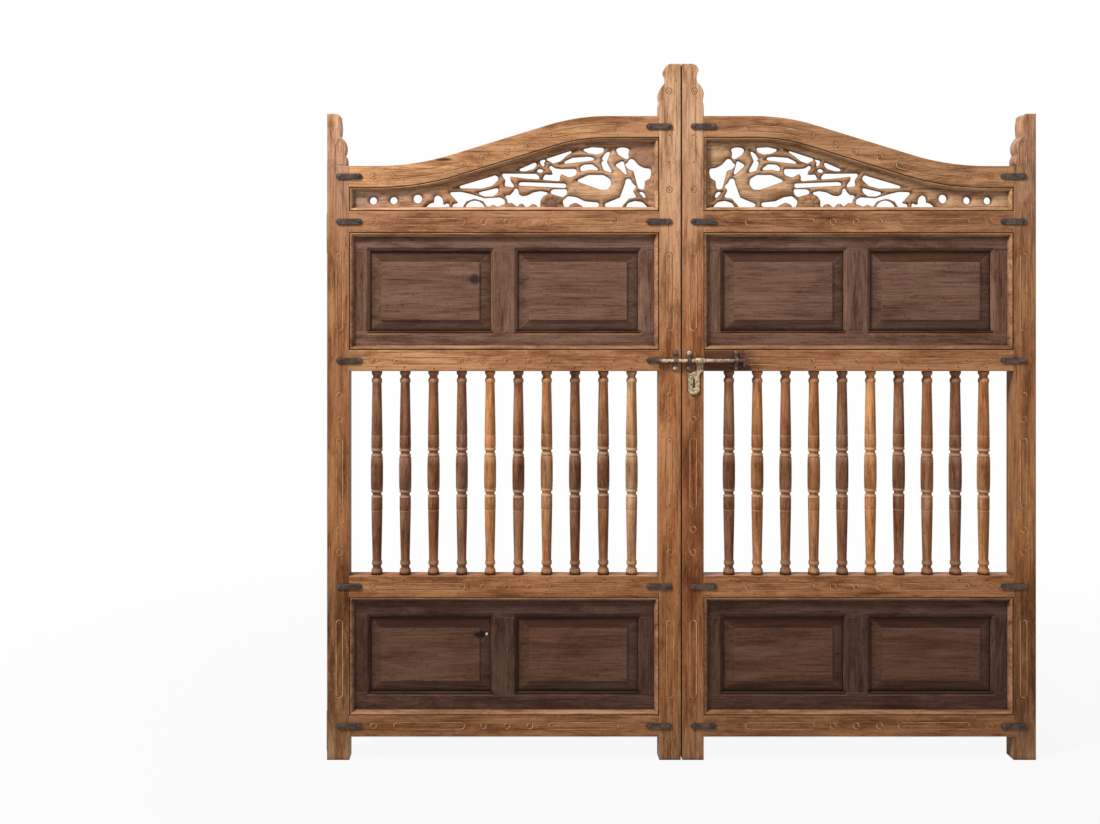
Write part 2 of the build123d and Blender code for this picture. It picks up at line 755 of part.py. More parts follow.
def hinge_pin(z):
    """The pin that stands in the lug and carries the eye."""
    low = lug_levels(z)[0]
    return post_along_z(hinge_inset, hinge_y, low, z + eye_height / 2 + pin_rise, pin_radius)


def bolt_keeper(x):
    """A strap arched over the bolt, with a foot above and below it."""
    x0 = x - keeper_width / 2
    x1 = x + keeper_width / 2
    outer = keeper_bore + keeper_thickness
    half = keeper_height / 2
    foot = block(x0, x1, front_y - keeper_thickness, front_y, bolt_z - half, bolt_z + half)
    arch = bar_along_x(x0, x1, bolt_y, bolt_z, outer)
    legs = block(x0, x1, bolt_y, front_y, bolt_z - outer, bolt_z + outer)
    tunnel = bar_along_x(x0 - cut_overrun, x1 + cut_overrun, bolt_y, bolt_z, keeper_bore)
    mouth = block(
        x0 - cut_overrun,
        x1 + cut_overrun,
        bolt_y,
        front_y + cut_overrun,
        bolt_z - keeper_bore,
        bolt_z + keeper_bore,
    )
    return foot + arch + legs - tunnel - mouth


def bolt_rod():
    """The round bolt with two collars that hold the hasp and a spur at its tail."""
    rod = bar_along_x(-bolt_reach, bolt_tail, bolt_y, bolt_z, bolt_radius)
    rod = chamfer(rod.edges().sort_by(Axis.X)[0], bolt_nose)
    eye_half = hasp_eye_width / 2 + hasp_end_clearance
    for start in (hasp_eye_x - eye_half - collar_width, hasp_eye_x + eye_half):
        rod = rod + bar_along_x(start, start + collar_width, bolt_y, bolt_z, collar_radius)
    spur_x = bolt_tail - bolt_spur_radius
    return rod + post_along_z(spur_x, bolt_y, bolt_z - bolt_spur_length, bolt_z, bolt_spur_radius)


def hasp():
    """The hasp: an eye on the bolt, a neck and a slotted plate with a round end."""
    outer = hasp_bore + hasp_thickness
    x0 = hasp_eye_x - hasp_eye_width / 2
    x1 = hasp_eye_x + hasp_eye_width / 2
    middle = hasp_eye_x - hasp_body_offset
    half = hasp_body_width / 2
    neck_z = bolt_z - hasp_neck_length
    shoulder_z = neck_z - hasp_eye_width / 2
    end_z = bolt_z - hasp_length + half
    edges = [
        Line((x1, bolt_z), (x1, neck_z)),
        Line((x1, neck_z), (middle + half, shoulder_z)),
        Line((middle + half, shoulder_z), (middle + half, end_z)),
        ThreePointArc((middle + half, end_z), (middle, end_z - half), (middle - half, end_z)),
        Line((middle - half, end_z), (middle - half, shoulder_z)),
        Line((middle - half, shoulder_z), (x0, neck_z)),
        Line((x0, neck_z), (x0, bolt_z)),
        Line((x0, bolt_z), (x1, bolt_z)),
    ]
    slot = Pos(middle, bolt_z - hasp_slot_drop) * Rectangle(hasp_slot_width, hasp_slot_length)
    plate_end = bolt_y + outer
    plate = slab(make_face(edges) - slot, plate_end - hasp_thickness, plate_end)
    eye = bar_along_x(x0, x1, bolt_y, bolt_z, outer)
    bore = bar_along_x(x0 - cut_overrun, x1 + cut_overrun, bolt_y, bolt_z, hasp_bore)
    return plate + eye - bore


def on_left(shape):
    """Move a shape of the leaf's own frame to the left leaf."""
    return Pos(-leaf_gap / 2 - leaf_width, leaf_y, 0) * shape


def on_right(shape):
    """Mirror a shape of the leaf's own frame to the right leaf."""
    return mirror(on_left(shape), about=Plane.YZ)


def on_line(shape):
    """Move a shape measured from the line where the leaves meet into the gate's depth."""
    return Pos(0, leaf_y, 0) * shape


def save(name, shapes):
    """Write the solids of one node."""
    solids = [solid for shape in shapes for solid in shape.solids()]
    node = solids[0] if len(solids) == 1 else Compound(solids)
    node.label = name
    export_step(node, f"parts/{name}.step")


def leaf_nodes():
    """The wooden pieces and hinge plates that both leaves share, by name."""
    lower = (lower_opening_z, lower_opening_height, lower_inner_rail_height)
    upper = (upper_opening_z, upper_opening_height, upper_inner_rail_height)
    nodes = {
        "hinge_stile": [hinge_stile()],
        "meeting_stile": [meeting_stile()],
        "bottom_rail": [straight_rail(foot_height)],
        "spindle_rail": [spindle_rail()],
        "lock_rail": [lock_rail()],
        "frieze_rail": [straight_rail(frieze_rail_z)],
        "top_rail": [top_rail()],
        "carved_frieze": [carved_frieze()],
        "beads": beads(),
        "lower_panel_rails": panel_rails(*lower),
        "lower_panel_stiles": panel_stiles(*lower),
        "lower_panels": panels(*lower),
        "upper_panel_rails": panel_rails(*upper),
        "upper_panel_stiles": panel_stiles(*upper),
        "upper_panels": panels(*upper),
        "leaf_hinge_plates": [leaf_hinge_plate(z) for z in hinge_zs],
    }
    for index, x in enumerate(baluster_centres(), start=1):
        nodes[f"baluster_{index:02d}"] = [baluster(x)]
    return nodes


def main():
    """Write every node of the gate."""
    os.makedirs("parts", exist_ok=True)
    for name, shapes in leaf_nodes().items():
        save(f"left_{name}", [on_left(shape) for shape in shapes])
        save(f"right_{name}", [on_right(shape) for shape in shapes])
    save("left_iron_straps", [on_left(strap) for strap in iron_straps(True)])
    save("right_iron_straps", [on_right(strap) for strap in iron_straps(False)])
    save("left_bolt_keeper", [on_line(bolt_keeper(-left_keeper_x))])
    save("right_bolt_keepers", [on_line(bolt_keeper(x)) for x in right_keeper_xs])
    save("bolt_rod", [on_line(bolt_rod())])
    save("hasp", [on_line(hasp())])
    plates = [post_hinge_plate(z) for z in hinge_zs]
    pins = [hinge_pin(z) for z in hinge_zs]
    save("post_hinge_plates", [on_left(plate) for plate in plates] + [on_right(plate) for plate in plates])
    save("hinge_pins", [on_left(pin) for pin in pins] + [on_right(pin) for pin in pins])


main()
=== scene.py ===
"""Looks of the wood and iron gate: worn teak, dark panels, forged straps and a corroded bolt."""
import math
import random

import bmesh
import bpy
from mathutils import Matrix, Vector, kdtree


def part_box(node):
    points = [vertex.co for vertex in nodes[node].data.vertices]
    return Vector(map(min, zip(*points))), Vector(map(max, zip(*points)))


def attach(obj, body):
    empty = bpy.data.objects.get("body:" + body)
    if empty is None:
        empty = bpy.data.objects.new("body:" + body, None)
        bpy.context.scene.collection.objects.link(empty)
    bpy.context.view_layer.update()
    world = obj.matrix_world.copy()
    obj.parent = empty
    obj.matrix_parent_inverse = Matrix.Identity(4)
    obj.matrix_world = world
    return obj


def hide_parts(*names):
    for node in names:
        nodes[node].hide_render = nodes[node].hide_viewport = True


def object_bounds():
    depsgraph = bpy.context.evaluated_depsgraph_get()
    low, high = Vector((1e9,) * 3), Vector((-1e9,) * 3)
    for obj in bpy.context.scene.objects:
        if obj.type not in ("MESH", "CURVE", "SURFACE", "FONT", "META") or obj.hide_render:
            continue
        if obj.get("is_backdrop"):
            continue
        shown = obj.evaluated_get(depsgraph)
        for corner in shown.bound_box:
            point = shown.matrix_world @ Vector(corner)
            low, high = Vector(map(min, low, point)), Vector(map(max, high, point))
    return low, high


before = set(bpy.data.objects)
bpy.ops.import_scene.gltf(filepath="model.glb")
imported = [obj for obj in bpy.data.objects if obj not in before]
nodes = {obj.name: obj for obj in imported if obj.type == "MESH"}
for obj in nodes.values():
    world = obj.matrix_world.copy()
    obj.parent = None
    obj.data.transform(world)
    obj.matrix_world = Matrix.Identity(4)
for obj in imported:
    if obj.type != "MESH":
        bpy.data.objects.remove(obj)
cad_low, cad_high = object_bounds()
chance = random.Random(7)

# The photograph: its size, the scale on the gate's front, the pixels of the meeting line and the ground,
# and the pixel and distance that the camera looks from
photo_width = 1100
photo_height = 824
pixel_m = 0.0027
meeting_px = 681.5
ground_px = 760
principal_px = (505, 303)
camera_distance = 3.1
sensor_mm = 36

# Faces and levels of the frame that the pieces below sit on
SIDES = {"left": 1, "right": -1}
ALONG_X, ALONG_Y, ALONG_Z = 0, 1, 2
stile_low, stile_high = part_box("left_hinge_stile")
front_y = stile_low.y
back_y = stile_high.y
strap_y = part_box("left_iron_straps")[0].y
opening_x0 = stile_high.x
opening_x1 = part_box("left_meeting_stile")[0].x
opening_width = opening_x1 - opening_x0
baluster_low_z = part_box("left_spindle_rail")[1].z
baluster_high_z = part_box("left_lock_rail")[0].z
frieze_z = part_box("left_frieze_rail")[1].z
rail_height = frieze_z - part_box("left_frieze_rail")[0].z
top_rail_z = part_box("left_top_rail")[1].z
panel_front_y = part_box("left_upper_panels")[0].y
panel_back_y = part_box("left_upper_panels")[1].y
gate_height = cad_high.z

# How far thin lines stand off the wood, how near two places are one, and how much brighter a wood's colour
# is set for what its grain, stains, dents and painted shade take away
skin = 0.0002
same_place = 1e-5
wood_lift = 1.5


def srgb(red, green, blue, lift=1.0):
    """An sRGB colour in linear values, lifted where a finish darkens it."""
    shares = [c / 255 for c in (red, green, blue)]
    linear = [v / 12.92 if v <= 0.04045 else ((v + 0.055) / 1.055) ** 2.4 for v in shares]
    return [min(1.0, v * lift) for v in linear] + [1]


def teak(red, green, blue):
    """A wood colour, lifted for its finish."""
    return srgb(red, green, blue, wood_lift)


def at(u, v):
    """The place on the gate's front that a pixel of the photograph shows."""
    return (u - meeting_px) * pixel_m, (ground_px - v) * pixel_m


class Shader:
    """The nodes of one material."""

    def __init__(self, name):
        self.material = bpy.data.materials.new(name)
        self.material.use_nodes = True
        self.tree = self.material.node_tree
        self.surface = self.tree.nodes["Principled BSDF"]

    def node(self, kind, **settings):
        made = self.tree.nodes.new(kind)
        for key, value in settings.items():
            setattr(made, key, value)
        return made

    def put(self, socket, value):
        """Link a socket or set a plain value."""
        if isinstance(value, bpy.types.NodeSocket):
            self.tree.links.new(value, socket)
        else:
            socket.default_value = value

    def place(self, scale=(1, 1, 1), shift=(0, 0, 0)):
        """Object coordinates, stretched and shifted."""
        mapping = self.node("ShaderNodeMapping")
        self.put(mapping.inputs["Vector"], self.node("ShaderNodeTexCoord").outputs["Object"])
        mapping.inputs["Scale"].default_value = scale
        mapping.inputs["Location"].default_value = shift
        return mapping.outputs[0]

    def along(self, axis, low, high):
        """How far a place lies along an axis of the gate, 0 at low and 1 at high."""
        split = self.node("ShaderNodeSeparateXYZ")
        self.put(split.inputs[0], self.node("ShaderNodeTexCoord").outputs["Object"])
        reach = self.node("ShaderNodeMapRange")
        reach.inputs["From Min"].default_value = low
        reach.inputs["From Max"].default_value = high
        self.put(reach.inputs["Value"], split.outputs[axis])
        return reach.outputs[0]

    def noise(self, vector, scale, detail=4.0, roughness=0.6, distortion=0.0):
        made = self.node("ShaderNodeTexNoise")
        self.put(made.inputs["Vector"], vector)
        made.inputs["Scale"].default_value = scale
        made.inputs["Detail"].default_value = detail
        made.inputs["Roughness"].default_value = roughness
        made.inputs["Distortion"].default_value = distortion
        return made.outputs[0]

    def grain(self, axis, across, length, shift, detail=4.0, roughness=0.6, distortion=0.0):
        """Noise drawn out along the grain, with so many streaks a metre across it and along it."""
        scale = [across] * 3
        scale[axis] = length
        vector = self.place(scale, (shift, shift * 1.7, shift * 0.6))
        return self.noise(vector, 1.0, detail, roughness, distortion)

    def ramp(self, factor, *stops):
        """A colour ramp through (place, colour) stops; a single number is a grey."""
        made = self.node("ShaderNodeValToRGB")
        elements = made.color_ramp.elements
        while len(elements) < len(stops):
            elements.new(0.5)
        for element, (place, colour) in zip(elements, stops):
            element.position = place
            element.color = colour if isinstance(colour, list) else [colour] * 3 + [1]
        self.put(made.inputs[0], factor)
        return made.outputs[0]

    def mix(self, factor, first, second, blend="MIX"):
        made = self.node("ShaderNodeMix", data_type="RGBA", blend_type=blend)
        self.put(made.inputs[0], factor)
        self.put(made.inputs[6], first)
        self.put(made.inputs[7], second)
        return made.outputs[2]

    def shaded(self, colour, factor, *stops):
        """A colour darkened by a ramp of greys or browns."""
        return self.mix(1.0, colour, self.ramp(factor, *stops), "MULTIPLY")

    def maths(self, operation, first, second):
        made = self.node("ShaderNodeMath", operation=operation, use_clamp=True)
        self.put(made.inputs[0], first)
        self.put(made.inputs[1], second)
        return made.outputs[0]

    def corners(self, distance):
        """A mask for painted shade: light where a place is open and dark in corners and quirks."""
        made = self.node("ShaderNodeAmbientOcclusion", samples=6)
        made.inputs["Distance"].default_value = distance
        return made.outputs["AO"]

    def rounded(self, radius):
        """The normal of the surface with its arrises rounded over."""
        made = self.node("ShaderNodeBevel", samples=4)
        made.inputs["Radius"].default_value = radius
        return made.outputs[0]

    def arrises(self, rounded):
        """Light along the arrises that the rounded normal turns away on."""
        dot = self.node("ShaderNodeVectorMath", operation="DOT_PRODUCT")
        self.put(dot.inputs[0], rounded)
        self.put(dot.inputs[1], self.node("ShaderNodeNewGeometry").outputs["Normal"])
        return self.maths("SUBTRACT", 1.0, dot.outputs["Value"])

    def spot(self, u, v, half_width, half_height):
        """Light inside a ragged oval round a pixel of the photograph."""
        x, z = at(u, v)
        scale = (1 / (half_width * pixel_m), 0, 1 / (half_height * pixel_m))
        oval = self.node("ShaderNodeVectorMath", operation="LENGTH")
        self.put(oval.inputs[0], self.place(scale, (-x * scale[0], 0, -z * scale[2])))
        ragged = self.node("ShaderNodeMath", operation="ADD")
        self.put(ragged.inputs[0], oval.outputs["Value"])
        self.put(ragged.inputs[1], self.noise(self.place(), 90.0, roughness=0.65))
        return self.ramp(self.maths("MULTIPLY", ragged.outputs[0], 0.5), (0.55, 1.0), (0.85, 0.0))

    def bump(self, height, strength, distance, normal):
        made = self.node("ShaderNodeBump")
        made.inputs["Strength"].default_value = strength
        made.inputs["Distance"].default_value = distance
        self.put(made.inputs["Height"], height)
        self.put(made.inputs["Normal"], normal)
        self.put(self.surface.inputs["Normal"], made.outputs[0])

    def finish(self, colour, roughness, metallic=0.0, specular=0.5):
        self.put(self.surface.inputs["Base Color"], colour)
        self.put(self.surface.inputs["Roughness"], roughness)
        self.surface.inputs["Metallic"].default_value = metallic
        self.surface.inputs["Specular IOR Level"].default_value = specular
        return self.material


def tones_along(axis, low, high, *stops):
    """A wood colour that changes along the gate, as (share of the way, colour) stops."""
    return lambda shade: shade.ramp(shade.along(axis, low, high), *stops)


def brown(share):
    """What dark grain, stains, dents and painted shade let through: more red than blue."""
    return [share, share ** 1.3, share ** 1.6, 1]


def wood(
    name, tone, worn, axis, shift,
    streak=0.58, stain=0.5, wear=0.5, corner_shade=0.3, spots=(), recess_shade=False, painted="",
):
    """Weathered wood: streaks and fine lines along its grain, worn patches, stains and dents, with painted
    shade in its corners and, where asked, in its recess.
    """
    shade = Shader(name)
    colour = tone(shade) if callable(tone) else tone
    figure = shade.grain(axis, 36.0, 2.4, shift, detail=6, roughness=0.66, distortion=0.6)
    colour = shade.shaded(colour, figure, (0.34, brown(streak)), (0.54, 0.97), (0.7, 1.0))
    patches = shade.grain(axis, 24.0, 3.8, shift + 5, detail=8, roughness=0.74, distortion=0.5)
    colour = shade.mix(shade.ramp(patches, (0.47, 0.0), (0.62, wear)), colour, worn)
    lines = shade.grain(axis, 230.0, 9.0, shift + 3, detail=5, roughness=0.66, distortion=0.4)
    colour = shade.shaded(colour, lines, (0.33, brown(0.48)), (0.5, 0.95), (0.62, 1.0))
    stains = shade.grain(axis, 22.0, 5.0, shift + 8, detail=8, roughness=0.76, distortion=0.5)
    colour = shade.shaded(colour, stains, (0.38, brown(stain)), (0.54, 1.0))
    flecks = shade.grain(axis, 340.0, 42.0, shift + 11, detail=3)
    colour = shade.mix(shade.ramp(flecks, (0.54, 0.0), (0.68, 0.5 * wear)), colour, worn)
    dents = shade.noise(shade.place(shift=(shift, 0, shift)), 130.0, roughness=0.7)
    colour = shade.shaded(colour, dents, (0.3, brown(0.45)), (0.41, 1.0))
    if painted:
        marked = shade.node("ShaderNodeAttribute", attribute_name=painted).outputs["Fac"]
        if painted == "worn":
            colour = shade.mix(marked, colour, worn)
        else:
            # Otherwise darker towards the carving's rims: grime, and painted shade where its faces round off
            colour = shade.shaded(colour, marked, (0.0, 1.0), (1.0, brown(0.3)))
    if recess_shade:
        # Painted shade: darker the deeper a place lies in the panel's recess, and darker on faces turned
        # upwards, where the frame's shadow falls
        depth = shade.along(ALONG_Y, panel_front_y, panel_back_y)
        colour = shade.shaded(colour, depth, (0.05, 1.0), (0.14, 0.85), (0.5, 0.62))
        facing = shade.node("ShaderNodeSeparateXYZ")
        shade.put(facing.inputs[0], shade.node("ShaderNodeNewGeometry").outputs["Normal"])
        colour = shade.shaded(colour, facing.outputs["Z"], (0.05, 1.0), (0.2, brown(0.5)))
    for u, v, half_width, half_height, tint, strength in spots:
        mask = shade.maths("MULTIPLY", shade.spot(u, v, half_width, half_height), strength)
        colour = shade.mix(mask, colour, tint)
    rounded = shade.rounded(0.004)
    rubbed = shade.maths("MULTIPLY", shade.arrises(rounded), shade.ramp(dents, (0.38, 0.2), (0.6, 1.0)))
    colour = shade.mix(shade.maths("MULTIPLY", rubbed, 2.4), colour, worn)
    # Painted shade: darker in corners and quirks, where other surfaces lie near
    colour = shade.shaded(colour, shade.corners(0.02), (0.35, brown(corner_shade)), (0.85, 1.0))
    relief = shade.maths("ADD", shade.maths("MULTIPLY", lines, 0.6), shade.maths("MULTIPLY", dents, 0.4))
    shade.bump(relief, strength=0.6, distance=0.0012, normal=rounded)
    return shade.finish(colour, shade.ramp(figure, (0.3, 0.7), (0.7, 0.52)), specular=0.12)


def iron(name, dark, light, rust):
    """Forged iron: hammered, dark, with worn lights and a little rust."""
    shade = Shader(name)
    hammer = shade.noise(shade.place(), 170.0, detail=3)
    colour = shade.ramp(shade.noise(shade.place(), 60.0, roughness=0.65), (0.4, dark), (0.75, light))
    rusty = shade.ramp(shade.noise(shade.place(), 38.0, detail=5, roughness=0.7), (0.55, 0.0), (0.72, 0.5))
    colour = shade.mix(rusty, colour, rust)
    rounded = shade.rounded(0.0025)
    colour = shade.mix(shade.maths("MULTIPLY", shade.arrises(rounded), 0.8), colour, light)
    shade.bump(hammer, strength=0.5, distance=0.0015, normal=rounded)
    return shade.finish(colour, shade.ramp(hammer, (0.3, 0.55), (0.7, 0.36)), metallic=0.3)


def corroded(name, pale, tan, dark, dark_ends=None):
    """Old bright metal under a pale crust that has flaked off in places."""
    shade = Shader(name)
    crust = shade.noise(shade.place(), 150.0, detail=6, roughness=0.7, distortion=0.4)
    colour = shade.ramp(crust, (0.36, dark), (0.48, tan), (0.62, pale))
    spots = shade.noise(shade.place(), 420.0, detail=3)
    colour = shade.mix(shade.ramp(spots, (0.58, 0.0), (0.66, 0.85)), colour, dark)
    if dark_ends:
        reach = shade.along(ALONG_X, *dark_ends)
        ends = shade.ramp(
            reach, (0.05, 0.95), (0.09, 0.0), (0.56, 0.0), (0.66, 0.45), (0.82, 0.5), (0.92, 0.95)
        )
        colour = shade.mix(ends, colour, dark)
    # Painted shade: darker in the corners and quirks of the metal
    colour = shade.shaded(colour, shade.corners(0.006), (0.4, 0.4), (0.9, 1.0))
    shade.bump(crust, strength=0.7, distance=0.0015, normal=shade.rounded(0.001))
    return shade.finish(colour, roughness=0.66, metallic=0.15)


def plain(name, first, second, scale):
    """A matt two-tone surface for incised lines and small nails."""
    shade = Shader(name)
    colour = shade.ramp(shade.noise(shade.place(), scale), (0.38, first), (0.62, second))
    return shade.finish(colour, roughness=0.8, specular=0.2)


# All colours are set against mean colours measured in the photograph. These are the tones of the stiles and
# beads from the feet up, as shares of the gate's height, and of the frieze and rails from the hinge stile to
# the meeting stile
hinge_stile_tones = tones_along(
    ALONG_Z, 0, gate_height,
    (0.0, teak(140, 106, 82)), (0.1, teak(94, 59, 34)),
    (0.23, teak(96, 61, 35)), (0.31, teak(141, 93, 57)),
    (0.74, teak(138, 96, 66)), (0.84, teak(150, 114, 94)), (0.93, teak(184, 143, 114)),
)
meeting_stile_tones = tones_along(
    ALONG_Z, 0, gate_height,
    (0.0, teak(138, 102, 74)), (0.1, teak(132, 84, 48)),
    (0.25, teak(136, 88, 52)), (0.31, teak(158, 105, 65)),
    (0.6, teak(160, 110, 72)), (0.92, teak(186, 148, 116)),
)
right_meeting_tones = tones_along(
    ALONG_Z, 0, gate_height,
    (0.0, teak(136, 100, 72)), (0.12, teak(124, 76, 44)),
    (0.36, teak(122, 74, 44)), (0.62, teak(150, 98, 62)),
    (0.92, teak(178, 140, 110)),
)
bead_tones = tones_along(
    ALONG_Z, 0, gate_height,
    (0.6, teak(142, 103, 78)), (0.76, teak(160, 118, 88)),
    (0.8, teak(174, 136, 104)), (0.92, teak(146, 106, 78)),
)
frieze_tones = tones_along(
    ALONG_X, opening_x0, opening_x1,
    (0.0, teak(146, 130, 124)), (0.05, teak(186, 152, 130)),
    (0.36, teak(170, 127, 90)), (0.75, teak(174, 138, 106)),
)
top_rail_tones = tones_along(
    ALONG_X, opening_x0, opening_x1,
    (0.0, teak(192, 145, 102)), (0.45, teak(168, 124, 88)), (1.0, teak(156, 114, 82)),
)
lock_rail_tones = tones_along(
    ALONG_X, opening_x0, opening_x1,
    (0.1, teak(172, 128, 93)), (0.5, teak(158, 112, 79)), (0.95, teak(150, 103, 72)),
)

# Marks at their pixels: stains, knots, and a knot hole painted with the shade inside it and a pale dot of
# painted light through it; half width, half height, colour and strength
# Near black, for stains and for the painted shade inside a knot hole
black_stain_and_hole_shade = srgb(26, 20, 18)
red_stain = srgb(92, 54, 36)
rail_marks = [(722, 360, 34, 20, srgb(70, 40, 30), 0.8), (352, 357, 8, 8, red_stain, 0.4)]
frieze_marks = [
    (643, 155, 17, 15, srgb(146, 104, 80), 0.75), (552, 202, 14, 9, srgb(112, 76, 60), 0.85),
    (520, 206, 18, 5, srgb(136, 96, 72), 0.8), (634, 203, 14, 6, srgb(122, 84, 62), 0.85),
    (645, 188, 7, 14, srgb(150, 108, 84), 0.7), (577, 205, 8, 4, srgb(120, 82, 64), 0.8),
]
top_rail_marks = [(443, 159.5, 9, 1.6, black_stain_and_hole_shade, 0.85), (480, 151.5, 16, 1.2, black_stain_and_hole_shade, 0.55)]
upper_marks = [(474.5, 279, 5.5, 5.5, srgb(44, 32, 30), 0.9)]
# The knot hole of the lower panel: painted shade inside it and a pale dot of painted light through it
lower_hole_shade_and_light = [(481, 636, 9, 3.6, black_stain_and_hole_shade, 1.0), (486.5, 636, 1.3, 1.6, srgb(222, 210, 196), 1.0)]

worn_teak = srgb(206, 154, 104)
worn_dark = srgb(136, 104, 82)
worn_low = srgb(112, 86, 72)
rail_wood = {
    "top_rail": wood("teak_top_rail", top_rail_tones, worn_teak, ALONG_X, 1.3, spots=top_rail_marks),
    "frieze_rail": wood("teak_frieze_rail", teak(144, 101, 73), worn_teak, ALONG_X, 2.9),
    "lock_rail": wood("teak_lock_rail", lock_rail_tones, worn_teak, ALONG_X, 4.1, spots=rail_marks),
    "spindle_rail": wood("teak_spindle_rail", teak(146, 99, 66), worn_teak, ALONG_X, 5.7, wear=0.35),
    "bottom_rail": wood("teak_bottom_rail", teak(128, 88, 58), worn_teak, ALONG_X, 7.2, wear=0.3),
}
hinge_wood = wood("teak_hinge_stile", hinge_stile_tones, worn_teak, ALONG_Z, 8.8, streak=0.6, wear=0.35)
meeting_wood = wood("teak_meeting_stile", meeting_stile_tones, worn_teak, ALONG_Z, 10.4, wear=0.4)
right_meeting_wood = wood(
    "teak_right_meeting_stile", right_meeting_tones, worn_teak, ALONG_Z, 12.7, wear=0.35
)
bead_wood = wood("teak_bead", bead_tones, srgb(196, 152, 112), ALONG_X, 3.3, corner_shade=0.12, wear=0.4)
frieze_wood = wood(
    "carved_teak", frieze_tones, srgb(196, 158, 124), ALONG_X, 6.4, wear=0.3, corner_shade=0.2,
    spots=frieze_marks, painted="grime_and_rim_shade",
)
panel_wood = {
    "upper_panels": wood(
        "dark_panel_upper", teak(100, 74, 61), worn_dark, ALONG_X, 1.9, stain=0.75, corner_shade=0.12,
        spots=upper_marks, recess_shade=True,
    ),
    "upper_panel_rails": wood("dark_rail_upper", teak(102, 76, 64), worn_dark, ALONG_X, 3.8, corner_shade=0.08),
    "upper_panel_stiles": wood("dark_stile_upper", teak(102, 76, 63), worn_dark, ALONG_Z, 4.9, corner_shade=0.08),
    "lower_panels": wood(
        "dark_panel_lower", teak(84, 58, 44), worn_low, ALONG_X, 5.2, stain=0.75, corner_shade=0.12,
        spots=lower_hole_shade_and_light, recess_shade=True,
    ),
    "lower_panel_rails": wood("dark_rail_lower", teak(69, 48, 39), worn_low, ALONG_X, 6.8, corner_shade=0.1),
    "lower_panel_stiles": wood("dark_stile_lower", teak(62, 42, 31), worn_low, ALONG_Z, 7.7, corner_shade=0.1),
}

round_wood = {
    "upper": wood("panel_round_upper", teak(126, 88, 68), worn_dark, ALONG_X, 2.6, corner_shade=0.12),
    "lower": wood("panel_round_lower", teak(84, 56, 42), worn_low, ALONG_X, 7.1, corner_shade=0.12),
}


def turned_tones(red, green, blue):
    """The tones of a baluster: darkest on its barrel and paler up its neck."""
    low = srgb(red, green, blue, lift=1.55)
    barrel = srgb(red, green, blue, lift=1.35)
    neck = srgb(red, green, blue, lift=2.1)
    return tones_along(
        ALONG_Z, baluster_low_z, baluster_high_z,
        (0.0, low), (0.36, low), (0.42, barrel), (0.58, barrel), (0.64, low), (0.96, neck),
    )


turned_wood = {
    name: wood(f"turned_{name}", turned_tones(*tone), srgb(*worn), ALONG_Z, shift, painted="worn")
    for name, tone, worn, shift in (
        ("umber", (110, 73, 49), (176, 138, 112), 2.2),
        ("chestnut", (124, 82, 54), (182, 142, 112), 5.1),
        ("amber", (146, 98, 62), (196, 154, 116), 9.4),
        ("golden", (166, 112, 68), (206, 164, 122), 3.1),
        ("pale", (156, 117, 83), (212, 178, 144), 8.3),
    )
}
iron_metal = iron("forged_iron", srgb(30, 22, 18), srgb(98, 74, 60), srgb(80, 48, 33))
bolt_low, bolt_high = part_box("bolt_rod")
bolt_metal = corroded(
    "corroded_bolt", srgb(240, 220, 196), srgb(190, 158, 132), srgb(60, 46, 40), (bolt_low.x, bolt_high.x)
)
keeper_metal = corroded("corroded_keeper", srgb(132, 104, 86), srgb(84, 60, 48), srgb(44, 32, 28))
hasp_metal = corroded("corroded_hasp", srgb(220, 206, 174), srgb(162, 136, 104), srgb(66, 50, 42))
# Painted highlight and painted shade for the two walls of incised lines, lit from the upper left
lit_edge_paint = plain("incised_line", srgb(224, 178, 128), srgb(176, 122, 78), 40.0)
shaded_groove_paint = plain("incised_groove", srgb(84, 52, 34), srgb(132, 86, 56), 40.0)
nail_paint = plain("nail_dots", srgb(34, 26, 24), srgb(62, 46, 40), 120.0)
crust_metal = corroded("crusted_nail", srgb(232, 220, 206), srgb(176, 150, 130), srgb(70, 52, 46))


def dress(name, material):
    """Give a node of the frame its finish."""
    nodes[name].data.materials.clear()
    nodes[name].data.materials.append(material)


for side in SIDES:
    for name, material in {**rail_wood, **panel_wood}.items():
        dress(f"{side}_{name}", material)
    dress(f"{side}_hinge_stile", hinge_wood)
    dress(f"{side}_iron_straps", iron_metal)
    dress(f"{side}_leaf_hinge_plates", iron_metal)
dress("left_meeting_stile", meeting_wood)
dress("right_meeting_stile", right_meeting_wood)
dress("post_hinge_plates", iron_metal)
dress("hinge_pins", iron_metal)
dress("left_bolt_keeper", keeper_metal)
dress("right_bolt_keepers", keeper_metal)
dress("bolt_rod", bolt_metal)
dress("hasp", hasp_metal)


def piece(name, shape, material, body, smooth=False):
    """Put a mesh in the scene, dressed and riding on its body."""
    made = bpy.data.objects.new(name, shape)
    bpy.context.scene.collection.objects.link(made)
    shape.materials.append(material)
    if smooth:
        shape.polygons.foreach_set("use_smooth", [True] * len(shape.polygons))
    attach(made, body)
    return made


def mesh_of(name, points, faces, mirrored=False):
    """A mesh from points and faces, turned over for the right leaf."""
    if mirrored:
        points = [(-x, y, z) for x, y, z in points]
        faces = [tuple(reversed(face)) for face in faces]
    made = bpy.data.meshes.new(name)
    made.from_pydata(points, [], faces)
    made.update()
    return made


def gather(parts):
    """Join point and face lists."""
    points, faces = [], []
    for part_points, part_faces in parts:
        faces += [tuple(i + len(points) for i in face) for face in part_faces]
        points += part_points
    return points, faces


